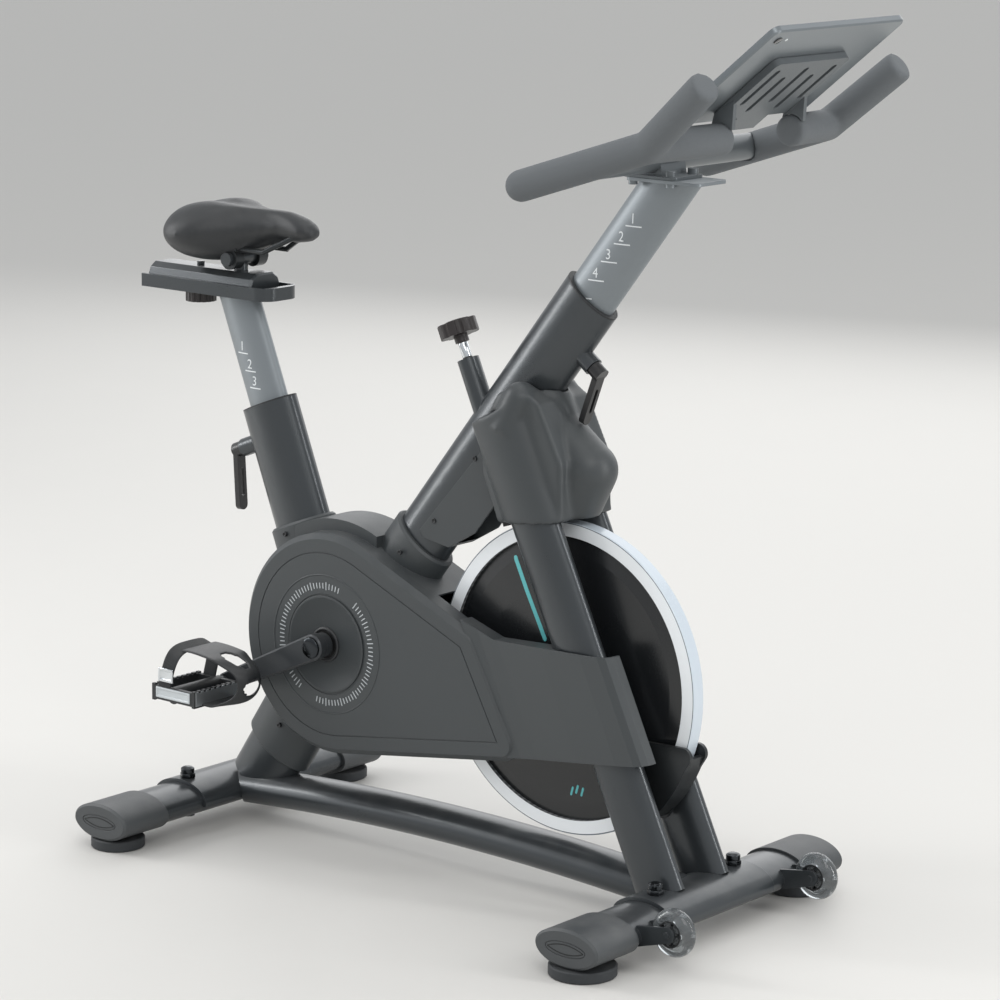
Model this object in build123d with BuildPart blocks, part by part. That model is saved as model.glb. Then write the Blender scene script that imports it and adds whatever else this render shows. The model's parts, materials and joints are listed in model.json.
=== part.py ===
from build123d import *
import os
from math import atan2, cos, degrees, radians, sin, tan

os.makedirs("parts", exist_ok=True)

# Upright exercise bike, millimetres, +Z up, +X towards the handlebar, floor at Z = 0,
# origin on the floor under the middle of the bike. The drive side is -Y.

# ---------------------------------------------------------------- stance and feet
front_foot_x = 361.0
rear_foot_x = -410.0
stabiliser_z = 38.0
stabiliser_half_length = 240.0
stabiliser_width = 84.0
stabiliser_height = 42.0
stabiliser_wall = 2.0
cap_overlap = 68.0
cap_end_thickness = 12.0
cap_wall_x = 5.0
cap_wall_z = 3.0
lens_half_width = 30.0
lens_half_height = 9.5
foot_disc_radius = 41.0
rear_foot_disc_radius = 35.0
foot_disc_height = 13.5
foot_stud_radius = 5.0
foot_spacing_y = 218.0
stud_clearance = 0.1

# ---------------------------------------------------------------- frame tubes
bottom_bracket_x = -187.0
bottom_bracket_z = 278.0
main_rise = 52.0
main_width = 84.0
main_thickness = 46.0
main_length = 612.3
tube_wall = 2.5
seat_lean = 21.5
seat_knee_x = -222.0
seat_knee_z = 262.0
seat_tube_width = 90.0
seat_tube_thickness = 48.0
seat_tube_length = 325.0
rear_post_width = 92.0
rear_post_thickness = 48.0
rear_post_foot_x = -362.0
rear_post_foot_z = 50.0
base_width = 70.0
base_height = 46.0
base_rise = 18.0
leg_width = 70.0
leg_thickness = 35.0
leg_spacing_y = 45.0
leg_foot_x = 345.5
leg_foot_z = 50.0
leg_top_x = 81.6
leg_top_z = 612.0
leg_wall = 2.0

# ---------------------------------------------------------------- drive train
flywheel_x = 164.0
flywheel_z = 282.7
flywheel_radius = 197.5
flywheel_rim_half = 10.0
flywheel_ring_width = 18.0
axle_radius = 7.5
axle_half_length = 58.0
running_clearance = 0.05
belt_y = -35.0
belt_width = 10.0
belt_thickness = 3.0
belt_clearance = 0.3
drive_pulley_radius = 88.0
flywheel_pulley_radius = 22.0
pulley_face = 11.0
dropout_inner_y = 44.0
dropout_thickness = 6.0
shell_radius = 22.0
shell_wall = 2.5
shell_half_length = 28.0
spindle_radius = 8.5
spindle_half_length = 88.0
crank_length = 170.0
crank_drop = 25.0
crank_inner_y = 66.0
crank_outer_y = 90.0
crank_arm_thickness = 13.0
pedal_pin_radius = 6.0
pedal_inner_y = 98.0
pedal_outer_y = 184.0
pedal_length = 76.0
pedal_height = 24.0
pedal_barrel_radius = 11.0
toe_cage_width = 60.0
toe_cage_wall = 3.0
toe_strap_half_y = 41.5
toe_strap_width = 20.0
toe_strap_thickness = 2.5
toe_strap_top = 67.0
toe_strap_foot_x = -19.0
toe_strap_lean = 26.0

# ---------------------------------------------------------------- brake
brake_lean = 24.0
brake_rod_radius = 6.0
brake_rod_clearance = 0.3
brake_rod_end = 221.0
brake_pad_gap = 6.0
brake_tube_radius = 14.0
brake_tube_top = 415.0
brake_knob_radius = 25.0
brake_knob_bottom = 446.0
brake_knob_height = 17.5

magnet_pivot_z = 215.0
magnet_pin_radius = 4.0
magnet_pin_inner_y = 12.8

# ---------------------------------------------------------------- covers
cover_circle_radius = 144.0
cover_half_thickness = 60.0
core_half_thickness = 38.0
cover_wall = 2.5
cover_bevel = 7.0
spindle_hole_radius = 17.0
slot_half_width = 33.0
wing_outer_y = 70.0
wing_wall = 3.0
ledge_inner_y = 36.0

# ---------------------------------------------------------------- saddle group
seat_post_width = 64.0
seat_post_thickness = 32.0
seat_post_insertion = 130.0
seat_post_top_z = 703.0
slide_clearance = 0.3
post_wall = 2.0
guide_lip = 2.0
seat_guide_length = 100.0
tray_rear_x = -541.4
tray_front_x = -316.0
tray_width = 68.0
tray_floor = 4.0
tray_depth = 13.0
slider_rear_x = -533.0
slider_front_x = -349.0
slider_width = 58.0
slider_height = 28.0
seat_knob_x = -465.0
seat_knob_radius = 20.5
clamp_x = -386.0
clamp_z = 753.0
clamp_barrel_radius = 9.0
clamp_ring_radius = 14.0

# ---------------------------------------------------------------- handlebar group
bar_post_width = 70.0
bar_post_thickness = 35.0
bar_post_insertion = 90.0
bar_post_top = 797.0
head_guide_length = 128.0
flange_z = 909.0
flange_thickness = 4.0
foam_radius = 19.0
bar_tube_radius = 12.0
cross_tube_radius = 16.0
cross_tube_x = 292.0
cross_tube_z = 936.0
grip_end = (224.0, 180.0, 912.0)
bar_bend = (403.5, 177.0, 969.7)
horn_tip = (494.0, 193.0, 1046.0)
stub_end = (427.5, 63.0, 972.7)
holder_tilt = 39.0
tablet_width = 257.0
tablet_height = 182.0
tablet_thickness = 8.0
tablet_top_x = 542.5
tablet_top_z = 1103.6
holder_width = 145.0
holder_height = 110.0
holder_thickness = 8.5
holder_drop = 55.0

# ---------------------------------------------------------------- transport wheels
wheel_x = 440.0
wheel_z = 49.5
wheel_y = 146.0
wheel_radius = 29.5
wheel_half_thickness = 10.0
wheel_pin_radius = 4.0
fork_plate = 4.0


def save(builder, label):
    """Label a finished part and write it out."""
    builder.part.label = label
    export_step(builder.part, f"parts/{label}.step")


def rising_plane(x, z, rise, y=0.0):
    """Plane across an axis that rises from +X by the given angle in the XZ plane."""
    rise_rad = radians(rise)
    return Plane(
        origin=(x, y, z),
        x_dir=(sin(rise_rad), 0, -cos(rise_rad)),
        z_dir=(cos(rise_rad), 0, sin(rise_rad)),
    )


def along(x, z, rise, distance):
    """Point (X, Z) at a distance along a rising axis."""
    return (x + distance * cos(radians(rise)), z + distance * sin(radians(rise)))


def side_plane(y):
    """Plane with local x = X and local y = Z, facing -Y, at the given Y."""
    return Plane(origin=(0, y, 0), x_dir=(1, 0, 0), z_dir=(0, -1, 0))


def oval_bar(x, z, rise, length, width, thickness, y=0.0):
    """Solid oval bar along a rising axis."""
    with BuildPart() as bar:
        with BuildSketch(rising_plane(x, z, rise, y)):
            Ellipse(width / 2, thickness / 2)
        extrude(amount=length)
    return bar.part


def cross_cylinder(x, z, radius, y_from, y_to):
    """Solid cylinder parallel to Y."""
    with BuildPart() as rod:
        with BuildSketch(side_plane(y_to)):
            with Locations((x, z)):
                Circle(radius)
        extrude(amount=y_to - y_from)
    return rod.part


def segment(start, end, radius):
    """Solid round bar between two points."""
    direction = Vector(*end) - Vector(*start)
    with BuildPart() as bar:
        with BuildSketch(Plane(origin=start, z_dir=direction.normalized())):
            Circle(radius)
        extrude(amount=direction.length)
    return bar.part


def stabiliser_bar(x, width, height, y_from, y_to):
    """Solid oval bar parallel to Y at stabiliser height."""
    with BuildPart() as bar:
        with BuildSketch(side_plane(y_to)):
            with Locations((x, stabiliser_z)):
                Ellipse(width / 2, height / 2)
        extrude(amount=y_to - y_from)
    return bar.part


# ================================================================ stabilisers
cradle_wall = 5.0
cradle_half_length = 102.0
front_bolt_y = 79.0
rear_bolt_y = 88.0
bolt_radius = 5.0
acorn_radius = 8.5
acorn_height = 16.0


def stabiliser_tube(x, bolt_y):
    """Hollow oval cross tube with its bolt and stud holes."""
    with BuildPart() as tube:
        add(stabiliser_bar(
            x, stabiliser_width, stabiliser_height, -stabiliser_half_length, stabiliser_half_length
        ))
        add(
            stabiliser_bar(
                x,
                stabiliser_width - 2 * stabiliser_wall,
                stabiliser_height - 2 * stabiliser_wall,
                -stabiliser_half_length,
                stabiliser_half_length,
            ),
            mode=Mode.SUBTRACT,
        )
        with Locations(*[(x, side * bolt_y, stabiliser_z) for side in (-1, 1)]):
            Cylinder(bolt_radius, 2 * stabiliser_height, mode=Mode.SUBTRACT)
        with Locations(*[(x, side * foot_spacing_y, foot_disc_height) for side in (-1, 1)]):
            Cylinder(foot_stud_radius + 2.0, stabiliser_height, mode=Mode.SUBTRACT)
    return tube.part


wheel_bores = [cross_cylinder(wheel_x, wheel_z, wheel_pin_radius, -200, 200)]

with BuildPart() as front_stabiliser:
    add(stabiliser_tube(front_foot_x, front_bolt_y))
    for side in (-1, 1):
        for face in (-1, 1):
            inner = side * wheel_y + face * (wheel_half_thickness + 1.0)
            outer = inner + face * fork_plate
            with BuildSketch(side_plane(max(inner, outer))):
                with BuildLine():
                    Polyline(
                        (front_foot_x + 34.0, stabiliser_z - 12.0),
                        (wheel_x, wheel_z - 10.0),
                        (wheel_x, wheel_z + 10.0),
                        (front_foot_x + 34.0, stabiliser_z + 14.0),
                        close=True,
                    )
                make_face()
                with Locations((wheel_x, wheel_z)):
                    Circle(10.0)
            extrude(amount=fork_plate)
        add(cross_cylinder(
            wheel_x,
            wheel_z,
            wheel_pin_radius,
            side * wheel_y - wheel_half_thickness - fork_plate - 3.0,
            side * wheel_y + wheel_half_thickness + fork_plate + 3.0,
        ))
    add(
        stabiliser_bar(
            front_foot_x,
            stabiliser_width - 2 * stabiliser_wall,
            stabiliser_height - 2 * stabiliser_wall,
            -stabiliser_half_length,
            stabiliser_half_length,
        ),
        mode=Mode.SUBTRACT,
    )
save(front_stabiliser, "front_stabiliser")

with BuildPart() as rear_stabiliser:
    add(stabiliser_tube(rear_foot_x, rear_bolt_y))
save(rear_stabiliser, "rear_stabiliser")


def stabiliser_cradle(x, bolt_y):
    """Saddle bracket over the cross tube with its two bolts and acorn nuts."""
    outer_width = stabiliser_width + 2 * cradle_wall
    outer_height = stabiliser_height + 2 * cradle_wall
    with BuildPart() as cradle:
        add(stabiliser_bar(x, outer_width, outer_height, -cradle_half_length, cradle_half_length))
        with Locations((x, 0, stabiliser_z - outer_height / 2 - 4.0)):
            Box(outer_width + 2, 2 * cradle_half_length + 2, outer_height, mode=Mode.SUBTRACT)
        add(
            stabiliser_bar(x, stabiliser_width, stabiliser_height, -cradle_half_length, cradle_half_length),
            mode=Mode.SUBTRACT,
        )
        top = stabiliser_z + outer_height / 2
        for side in (-1, 1):
            with Locations((x, side * bolt_y, top - 1.0)):
                Cylinder(acorn_radius, acorn_height - 7.0, align=(Align.CENTER, Align.CENTER, Align.MIN))
            with Locations((x, side * bolt_y, top + acorn_height - 9.5)):
                Sphere(acorn_radius - 0.8)
            with Locations((x, side * bolt_y, stabiliser_z - stabiliser_height / 2)):
                Cylinder(bolt_radius, stabiliser_height + cradle_wall,
                         align=(Align.CENTER, Align.CENTER, Align.MIN))
            with Locations((x, side * bolt_y, stabiliser_z - stabiliser_height / 2)):
                Cylinder(9.0, 5.0, align=(Align.CENTER, Align.CENTER, Align.MAX))
    return cradle.part


front_cradle_part = stabiliser_cradle(front_foot_x, front_bolt_y)
rear_cradle_part = stabiliser_cradle(rear_foot_x, rear_bolt_y)


def cradle_envelope(x):
    """Solid that the cradle and cross tube fill together, for coping the tubes above."""
    return stabiliser_bar(
        x,
        stabiliser_width + 2 * cradle_wall,
        stabiliser_height + 2 * cradle_wall,
        -cradle_half_length,
        cradle_half_length,
    )


with BuildPart() as front_cradle:
    add(front_cradle_part)
save(front_cradle, "front_cradle")

with BuildPart() as rear_cradle:
    add(rear_cradle_part)
save(rear_cradle, "rear_cradle")


def end_cap(x, side):
    """Plastic end sleeve with an engraved lens on its closed end."""
    inner_y = side * (stabiliser_half_length - cap_overlap)
    mouth_y = side * stabiliser_half_length
    outer_y = side * (stabiliser_half_length + cap_end_thickness)
    width = stabiliser_width + 2 * cap_wall_x
    height = stabiliser_height + 2 * cap_wall_z
    with BuildPart() as cap:
        add(stabiliser_bar(x, width, height, min(inner_y, outer_y), max(inner_y, outer_y)))
        end_face = cap.faces().sort_by(Axis.Y)[-1 if side > 0 else 0]
        chamfer(end_face.edges(), length=3.0)
        add(
            stabiliser_bar(x, stabiliser_width, stabiliser_height, min(inner_y, mouth_y), max(inner_y, mouth_y)),
            mode=Mode.SUBTRACT,
        )
        with Locations((x, side * foot_spacing_y, foot_disc_height)):
            Cylinder(foot_stud_radius + 2.0, stabiliser_height, mode=Mode.SUBTRACT)
        groove_top = outer_y if side > 0 else outer_y + 1.0
        with BuildSketch(side_plane(groove_top)):
            with Locations((x, stabiliser_z)):
                Ellipse(lens_half_width, lens_half_height)
                Ellipse(lens_half_width - 1.4, lens_half_height - 1.4, mode=Mode.SUBTRACT)
        extrude(amount=1.0, mode=Mode.SUBTRACT)
    return cap.part


def levelling_foot(x, y, radius):
    """Turning foot: a broad disc with a threaded stud."""
    with BuildPart() as foot:
        with Locations((x, y, 0)):
            Cylinder(radius, foot_disc_height, align=(Align.CENTER, Align.CENTER, Align.MIN))
        chamfer(foot.edges().filter_by(GeomType.CIRCLE), length=1.5)
        with Locations((x, y, foot_disc_height)):
            Cylinder(foot_stud_radius, 28.0, align=(Align.CENTER, Align.CENTER, Align.MIN))
    return foot.part


for place, foot_x, disc_radius in (
    ("front", front_foot_x, foot_disc_radius),
    ("rear", rear_foot_x, rear_foot_disc_radius),
):
    for name, side in (("near", -1), ("far", 1)):
        with BuildPart() as cap_copy:
            add(end_cap(foot_x, side))
        save(cap_copy, f"cap_{place}_{name}")
        with BuildPart() as foot_copy:
            add(levelling_foot(foot_x, side * foot_spacing_y, disc_radius))
        save(foot_copy, f"foot_{place}_{name}")

for name, side in (("near", -1), ("far", 1)):
    with BuildPart() as wheel:
        with BuildSketch(Plane(origin=(wheel_x, side * wheel_y, wheel_z), x_dir=(1, 0, 0), z_dir=(0, 0, 1))):
            with BuildLine():
                bore = wheel_pin_radius + running_clearance
                half = wheel_half_thickness
                Line((bore, -half), (wheel_radius * 0.72, -half))
                ThreePointArc(
                    (wheel_radius * 0.72, -half), (wheel_radius, 0), (wheel_radius * 0.72, half)
                )
                Polyline((wheel_radius * 0.72, half), (bore, half), (bore, -half))
            make_face()
        revolve(axis=Axis((wheel_x, side * wheel_y, wheel_z), (0, 1, 0)))
        for face in (-1, 1):
            with BuildSketch(side_plane(side * wheel_y + max(0, face * (half + 0.01)) - (half if face < 0 else 0))):
                with Locations((wheel_x, wheel_z)):
                    with PolarLocations(wheel_radius * 0.47, 5):
                        Circle(3.6)
            extrude(amount=3.5 if face > 0 else -3.5, mode=Mode.SUBTRACT)
    save(wheel, f"wheel_{name}")

# ================================================================ frame
with BuildPart() as bb_shell:
    add(cross_cylinder(bottom_bracket_x, bottom_bracket_z, shell_radius, -shell_half_length, shell_half_length))
    add(
        cross_cylinder(
            bottom_bracket_x,
            bottom_bracket_z,
            shell_radius - shell_wall,
            -shell_half_length,
            shell_half_length,
        ),
        mode=Mode.SUBTRACT,
    )
save(bb_shell, "bb_shell")

shell_solid = cross_cylinder(
    bottom_bracket_x, bottom_bracket_z, shell_radius, -shell_half_length, shell_half_length
)
main_solid = oval_bar(
    bottom_bracket_x, bottom_bracket_z, main_rise, main_length, main_width, main_thickness
)

brake_dir = (-sin(radians(brake_lean)), cos(radians(brake_lean)))


def brake_point(reach):
    """Point on the brake line at a reach from the flywheel centre."""
    return (flywheel_x + reach * brake_dir[0], 0.0, flywheel_z + reach * brake_dir[1])


def brake_bar(reach_from, reach_to, radius):
    """Round bar on the brake line."""
    return segment(brake_point(reach_from), brake_point(reach_to), radius)


crossing_reach = 310.0
lever_boss_distance = 546.5
lever_boss_radius = 12.0
lever_boss_out = 56.0


def main_normal_point(distance, out):
    """Point beside the main tube axis, out towards the front and below."""
    x, z = along(bottom_bracket_x, bottom_bracket_z, main_rise, distance)
    rise = radians(main_rise)
    return (x + out * sin(rise), 0.0, z - out * cos(rise))


clamp_screw_radius = 4.5

with BuildPart() as main_tube:
    add(main_solid)
    add(brake_bar(crossing_reach, brake_tube_top, brake_tube_radius))
    add(segment(
        main_normal_point(lever_boss_distance, 20.0),
        main_normal_point(lever_boss_distance, lever_boss_out),
        lever_boss_radius,
    ))
    add(
        oval_bar(
            bottom_bracket_x,
            bottom_bracket_z,
            main_rise,
            main_length,
            main_width - 2 * tube_wall,
            main_thickness - 2 * tube_wall,
        ),
        mode=Mode.SUBTRACT,
    )
    add(brake_bar(240, brake_tube_top, brake_rod_radius + brake_rod_clearance), mode=Mode.SUBTRACT)
    add(brake_bar(crossing_reach, brake_tube_top - 12, brake_tube_radius - 3.0), mode=Mode.SUBTRACT)
    add(shell_solid, mode=Mode.SUBTRACT)
    add(
        segment(
            main_normal_point(lever_boss_distance, 10.0),
            main_normal_point(lever_boss_distance, lever_boss_out),
            clamp_screw_radius + 0.1,
        ),
        mode=Mode.SUBTRACT,
    )
save(main_tube, "main_tube")

rear_post_rise = degrees(atan2(seat_knee_z - rear_post_foot_z, seat_knee_x - rear_post_foot_x))
rear_post_length = (seat_knee_z - rear_post_foot_z) / sin(radians(rear_post_rise)) + 18.0
rear_post_solid = oval_bar(
    rear_post_foot_x, rear_post_foot_z, rear_post_rise, rear_post_length, rear_post_width, rear_post_thickness
)


leg_rise = degrees(atan2(leg_top_z - leg_foot_z, leg_top_x - leg_foot_x))
leg_length = (leg_top_z - leg_foot_z) / sin(radians(leg_rise))


def leg_bar(side, length, width, thickness):
    """Solid oval front leg, from the foot upwards."""
    return oval_bar(leg_foot_x, leg_foot_z, leg_rise, length, width, thickness, side * leg_spacing_y)


def leg_x_at(z):
    """X of the leg axis at a height."""
    return leg_foot_x + (z - leg_foot_z) / tan(radians(leg_rise))


def base_sweep(width, height):
    """Bowed oval bar between the two cross tubes."""
    with BuildPart() as bow:
        with BuildLine() as path:
            ThreePointArc(
                (rear_foot_x, 0, stabiliser_z),
                ((rear_foot_x + front_foot_x) / 2, 0, stabiliser_z + base_rise),
                (front_foot_x, 0, stabiliser_z),
            )
        with BuildSketch(Plane(origin=path.line @ 0, x_dir=(0, 1, 0), z_dir=path.line % 0)):
            Ellipse(width / 2, height / 2)
        sweep()
    return bow.part


base_solid = base_sweep(base_width, base_height)

with BuildPart() as base_tube:
    add(base_solid)
    add(base_sweep(base_width - 2 * tube_wall, base_height - 2 * tube_wall), mode=Mode.SUBTRACT)
    add(cradle_envelope(front_foot_x), mode=Mode.SUBTRACT)
    add(cradle_envelope(rear_foot_x), mode=Mode.SUBTRACT)
    for side in (-1, 1):
        add(leg_bar(side, leg_length, leg_width, leg_thickness), mode=Mode.SUBTRACT)
save(base_tube, "base_tube")

with BuildPart() as rear_post:
    add(rear_post_solid)
    add(
        oval_bar(
            rear_post_foot_x,
            rear_post_foot_z,
            rear_post_rise,
            rear_post_length - 3.0,
            rear_post_width - 2 * tube_wall,
            rear_post_thickness - 2 * tube_wall,
        ),
        mode=Mode.SUBTRACT,
    )
    add(base_solid, mode=Mode.SUBTRACT)
    add(cradle_envelope(rear_foot_x), mode=Mode.SUBTRACT)
    add(main_solid, mode=Mode.SUBTRACT)
    add(shell_solid, mode=Mode.SUBTRACT)
save(rear_post, "rear_post")

seat_rise = 90.0 + seat_lean
seat_tube_top = along(seat_knee_x, seat_knee_z, seat_rise, seat_tube_length)
seat_solid = oval_bar(
    seat_knee_x, seat_knee_z, seat_rise, seat_tube_length, seat_tube_width, seat_tube_thickness
)
seat_boss_drop = 43.0
seat_boss_out = 66.0


def seat_normal_point(distance, out):
    """Point beside the seat tube axis, out towards the rear."""
    x, z = along(seat_knee_x, seat_knee_z, seat_rise, distance)
    lean = radians(seat_lean)
    return (x - out * cos(lean), 0.0, z - out * sin(lean))


with BuildPart() as seat_tube:
    add(seat_solid)
    add(segment(
        seat_normal_point(seat_tube_length - seat_boss_drop, 20.0),
        seat_normal_point(seat_tube_length - seat_boss_drop, seat_boss_out),
        lever_boss_radius,
    ))
    add(
        oval_bar(
            seat_knee_x,
            seat_knee_z,
            seat_rise,
            seat_tube_length,
            seat_tube_width - 2 * tube_wall,
            seat_tube_thickness - 2 * tube_wall,
        ),
        mode=Mode.SUBTRACT,
    )
    add(rear_post_solid, mode=Mode.SUBTRACT)
    add(main_solid, mode=Mode.SUBTRACT)
    add(shell_solid, mode=Mode.SUBTRACT)
    add(
        segment(
            seat_normal_point(seat_tube_length - seat_boss_drop, 10.0),
            seat_normal_point(seat_tube_length - seat_boss_drop, seat_boss_out),
            clamp_screw_radius + 0.1,
        ),
        mode=Mode.SUBTRACT,
    )
save(seat_tube, "seat_tube")



for name, side in (("near", -1), ("far", 1)):
    plate_near = side * dropout_inner_y
    plate_far = side * (dropout_inner_y + dropout_thickness)
    with BuildPart() as leg:
        add(leg_bar(side, leg_length, leg_width, leg_thickness))
        with BuildSketch(side_plane(max(plate_near, plate_far))):
            with BuildLine():
                Polyline(
                    (flywheel_x, flywheel_z + 20.0),
                    (flywheel_x, flywheel_z - 20.0),
                    (leg_x_at(flywheel_z - 42.0), flywheel_z - 42.0),
                    (leg_x_at(flywheel_z + 42.0), flywheel_z + 42.0),
                    close=True,
                )
            make_face()
            with Locations((flywheel_x, flywheel_z)):
                Circle(20.0)
        extrude(amount=dropout_thickness)
        add(
            leg_bar(side, leg_length, leg_width - 2 * leg_wall, leg_thickness - 2 * leg_wall),
            mode=Mode.SUBTRACT,
        )
        add(cross_cylinder(flywheel_x, flywheel_z, axle_radius, -80, 80), mode=Mode.SUBTRACT)
        pin_inner = side * magnet_pin_inner_y
        pin_outer = side * (leg_spacing_y - leg_thickness / 2 + 1.0)
        add(cross_cylinder(
            leg_x_at(magnet_pivot_z),
            magnet_pivot_z,
            magnet_pin_radius,
            min(pin_inner, pin_outer),
            max(pin_inner, pin_outer),
        ))
        add(cradle_envelope(front_foot_x), mode=Mode.SUBTRACT)
        add(main_solid, mode=Mode.SUBTRACT)
    save(leg, f"leg_{name}")

crown_half_width = 36.0
with BuildPart() as fork_crown:
    with BuildSketch(side_plane(crown_half_width)):
        with BuildLine():
            Polyline(
                (leg_x_at(528) - 24, 528),
                (leg_x_at(528) + 24, 528),
                (leg_x_at(598) + 32, 598),
                (leg_x_at(598) - 8, 598),
                close=True,
            )
        make_face()
    extrude(amount=2 * crown_half_width)
    add(main_solid, mode=Mode.SUBTRACT)
    for side in (-1, 1):
        add(leg_bar(side, leg_length, leg_width, leg_thickness), mode=Mode.SUBTRACT)
save(fork_crown, "fork_crown")

# ================================================================ drive train
bearing_half_length = shell_half_length - 1.0
with BuildPart() as bb_cartridge:
    add(cross_cylinder(
        bottom_bracket_x, bottom_bracket_z, shell_radius - shell_wall, -bearing_half_length, bearing_half_length
    ))
    add(
        cross_cylinder(
            bottom_bracket_x,
            bottom_bracket_z,
            spindle_radius + running_clearance,
            -bearing_half_length,
            bearing_half_length,
        ),
        mode=Mode.SUBTRACT,
    )
save(bb_cartridge, "bb_cartridge")

with BuildPart() as crank_spindle:
    add(cross_cylinder(
        bottom_bracket_x, bottom_bracket_z, spindle_radius, -spindle_half_length, spindle_half_length
    ))
save(crank_spindle, "crank_spindle")

with BuildPart() as drive_pulley:
    pulley_near_y = belt_y - pulley_face / 2
    pulley_far_y = belt_y + pulley_face / 2
    add(cross_cylinder(
        bottom_bracket_x, bottom_bracket_z, drive_pulley_radius, pulley_near_y, pulley_far_y
    ))
    for y_from, y_to in ((pulley_near_y, belt_y - 2.0), (belt_y + 2.0, pulley_far_y)):
        with BuildSketch(side_plane(y_to)):
            with Locations((bottom_bracket_x, bottom_bracket_z)):
                Circle(drive_pulley_radius - 7.0)
                Circle(20.0, mode=Mode.SUBTRACT)
        extrude(amount=y_to - y_from, mode=Mode.SUBTRACT)
    with BuildSketch(side_plane(pulley_far_y)):
        with Locations((bottom_bracket_x, bottom_bracket_z)):
            with PolarLocations(52.0, 6):
                Circle(16.0)
    extrude(amount=pulley_face, mode=Mode.SUBTRACT)
    add(
        cross_cylinder(bottom_bracket_x, bottom_bracket_z, spindle_radius, pulley_near_y, pulley_far_y),
        mode=Mode.SUBTRACT,
    )
save(drive_pulley, "drive_pulley")

with BuildPart() as belt:
    with BuildSketch(side_plane(belt_y + belt_width / 2)):
        with Locations((bottom_bracket_x, bottom_bracket_z)):
            Circle(drive_pulley_radius + belt_clearance + belt_thickness)
        with Locations((flywheel_x, flywheel_z)):
            Circle(flywheel_pulley_radius + belt_clearance + belt_thickness)
        make_hull()
        with BuildSketch(side_plane(belt_y + belt_width / 2), mode=Mode.PRIVATE) as belt_inside:
            with Locations((bottom_bracket_x, bottom_bracket_z)):
                Circle(drive_pulley_radius + belt_clearance)
            with Locations((flywheel_x, flywheel_z)):
                Circle(flywheel_pulley_radius + belt_clearance)
            make_hull()
        add(belt_inside.sketch_local, mode=Mode.SUBTRACT)
    extrude(amount=belt_width)
save(belt, "belt")

hub_half_length = 26.0
rim = flywheel_rim_half
ring_inner = flywheel_radius - flywheel_ring_width
with BuildPart() as flywheel:
    with BuildSketch(Plane(origin=(flywheel_x, 0, flywheel_z), x_dir=(1, 0, 0), z_dir=(0, 0, 1))):
        with BuildLine():
            bore = axle_radius + running_clearance
            Polyline(
                (bore, -hub_half_length),
                (24.0, -hub_half_length),
                (30.0, -15.5),
                (62.0, -13.5),
                (120.0, -11.5),
                (160.0, -8.5),
                (ring_inner, -5.0),
                (ring_inner, -rim),
                (flywheel_radius - 1.0, -rim),
                (flywheel_radius, -rim + 1.0),
                (flywheel_radius, rim - 1.0),
                (flywheel_radius - 1.0, rim),
                (ring_inner, rim),
                (ring_inner, 5.0),
                (160.0, 8.5),
                (120.0, 11.5),
                (62.0, 13.5),
                (30.0, 15.5),
                (24.0, hub_half_length),
                (bore, hub_half_length),
                close=True,
            )
        make_face()
    revolve(axis=Axis((flywheel_x, 0, flywheel_z), (0, 1, 0)))
save(flywheel, "flywheel")

with BuildPart() as flywheel_pulley:
    flange_y_near = belt_y - pulley_face / 2 - 1.2
    flange_y_far = belt_y + pulley_face / 2 + 1.2
    add(cross_cylinder(flywheel_x, flywheel_z, flywheel_pulley_radius, flange_y_near, flange_y_far))
    add(cross_cylinder(flywheel_x, flywheel_z, 28.0, flange_y_near, flange_y_near + 1.2))
    add(cross_cylinder(flywheel_x, flywheel_z, 28.0, flange_y_far - 1.2, flange_y_far))
    add(cross_cylinder(flywheel_x, flywheel_z, 16.0, flange_y_far, -hub_half_length))
    add(
        cross_cylinder(flywheel_x, flywheel_z, axle_radius + running_clearance, -60, 0),
        mode=Mode.SUBTRACT,
    )
save(flywheel_pulley, "flywheel_pulley")

with BuildPart() as flywheel_axle:
    add(cross_cylinder(flywheel_x, flywheel_z, axle_radius, -axle_half_length, axle_half_length))
    for side in (-1, 1):
        nut_y = side * (dropout_inner_y + dropout_thickness)
        nut_end = nut_y + side * 8.0
        with BuildSketch(side_plane(max(nut_y, nut_end))):
            with Locations((flywheel_x, flywheel_z)):
                RegularPolygon(13.0, 6)
        extrude(amount=8.0)
save(flywheel_axle, "flywheel_axle")


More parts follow.
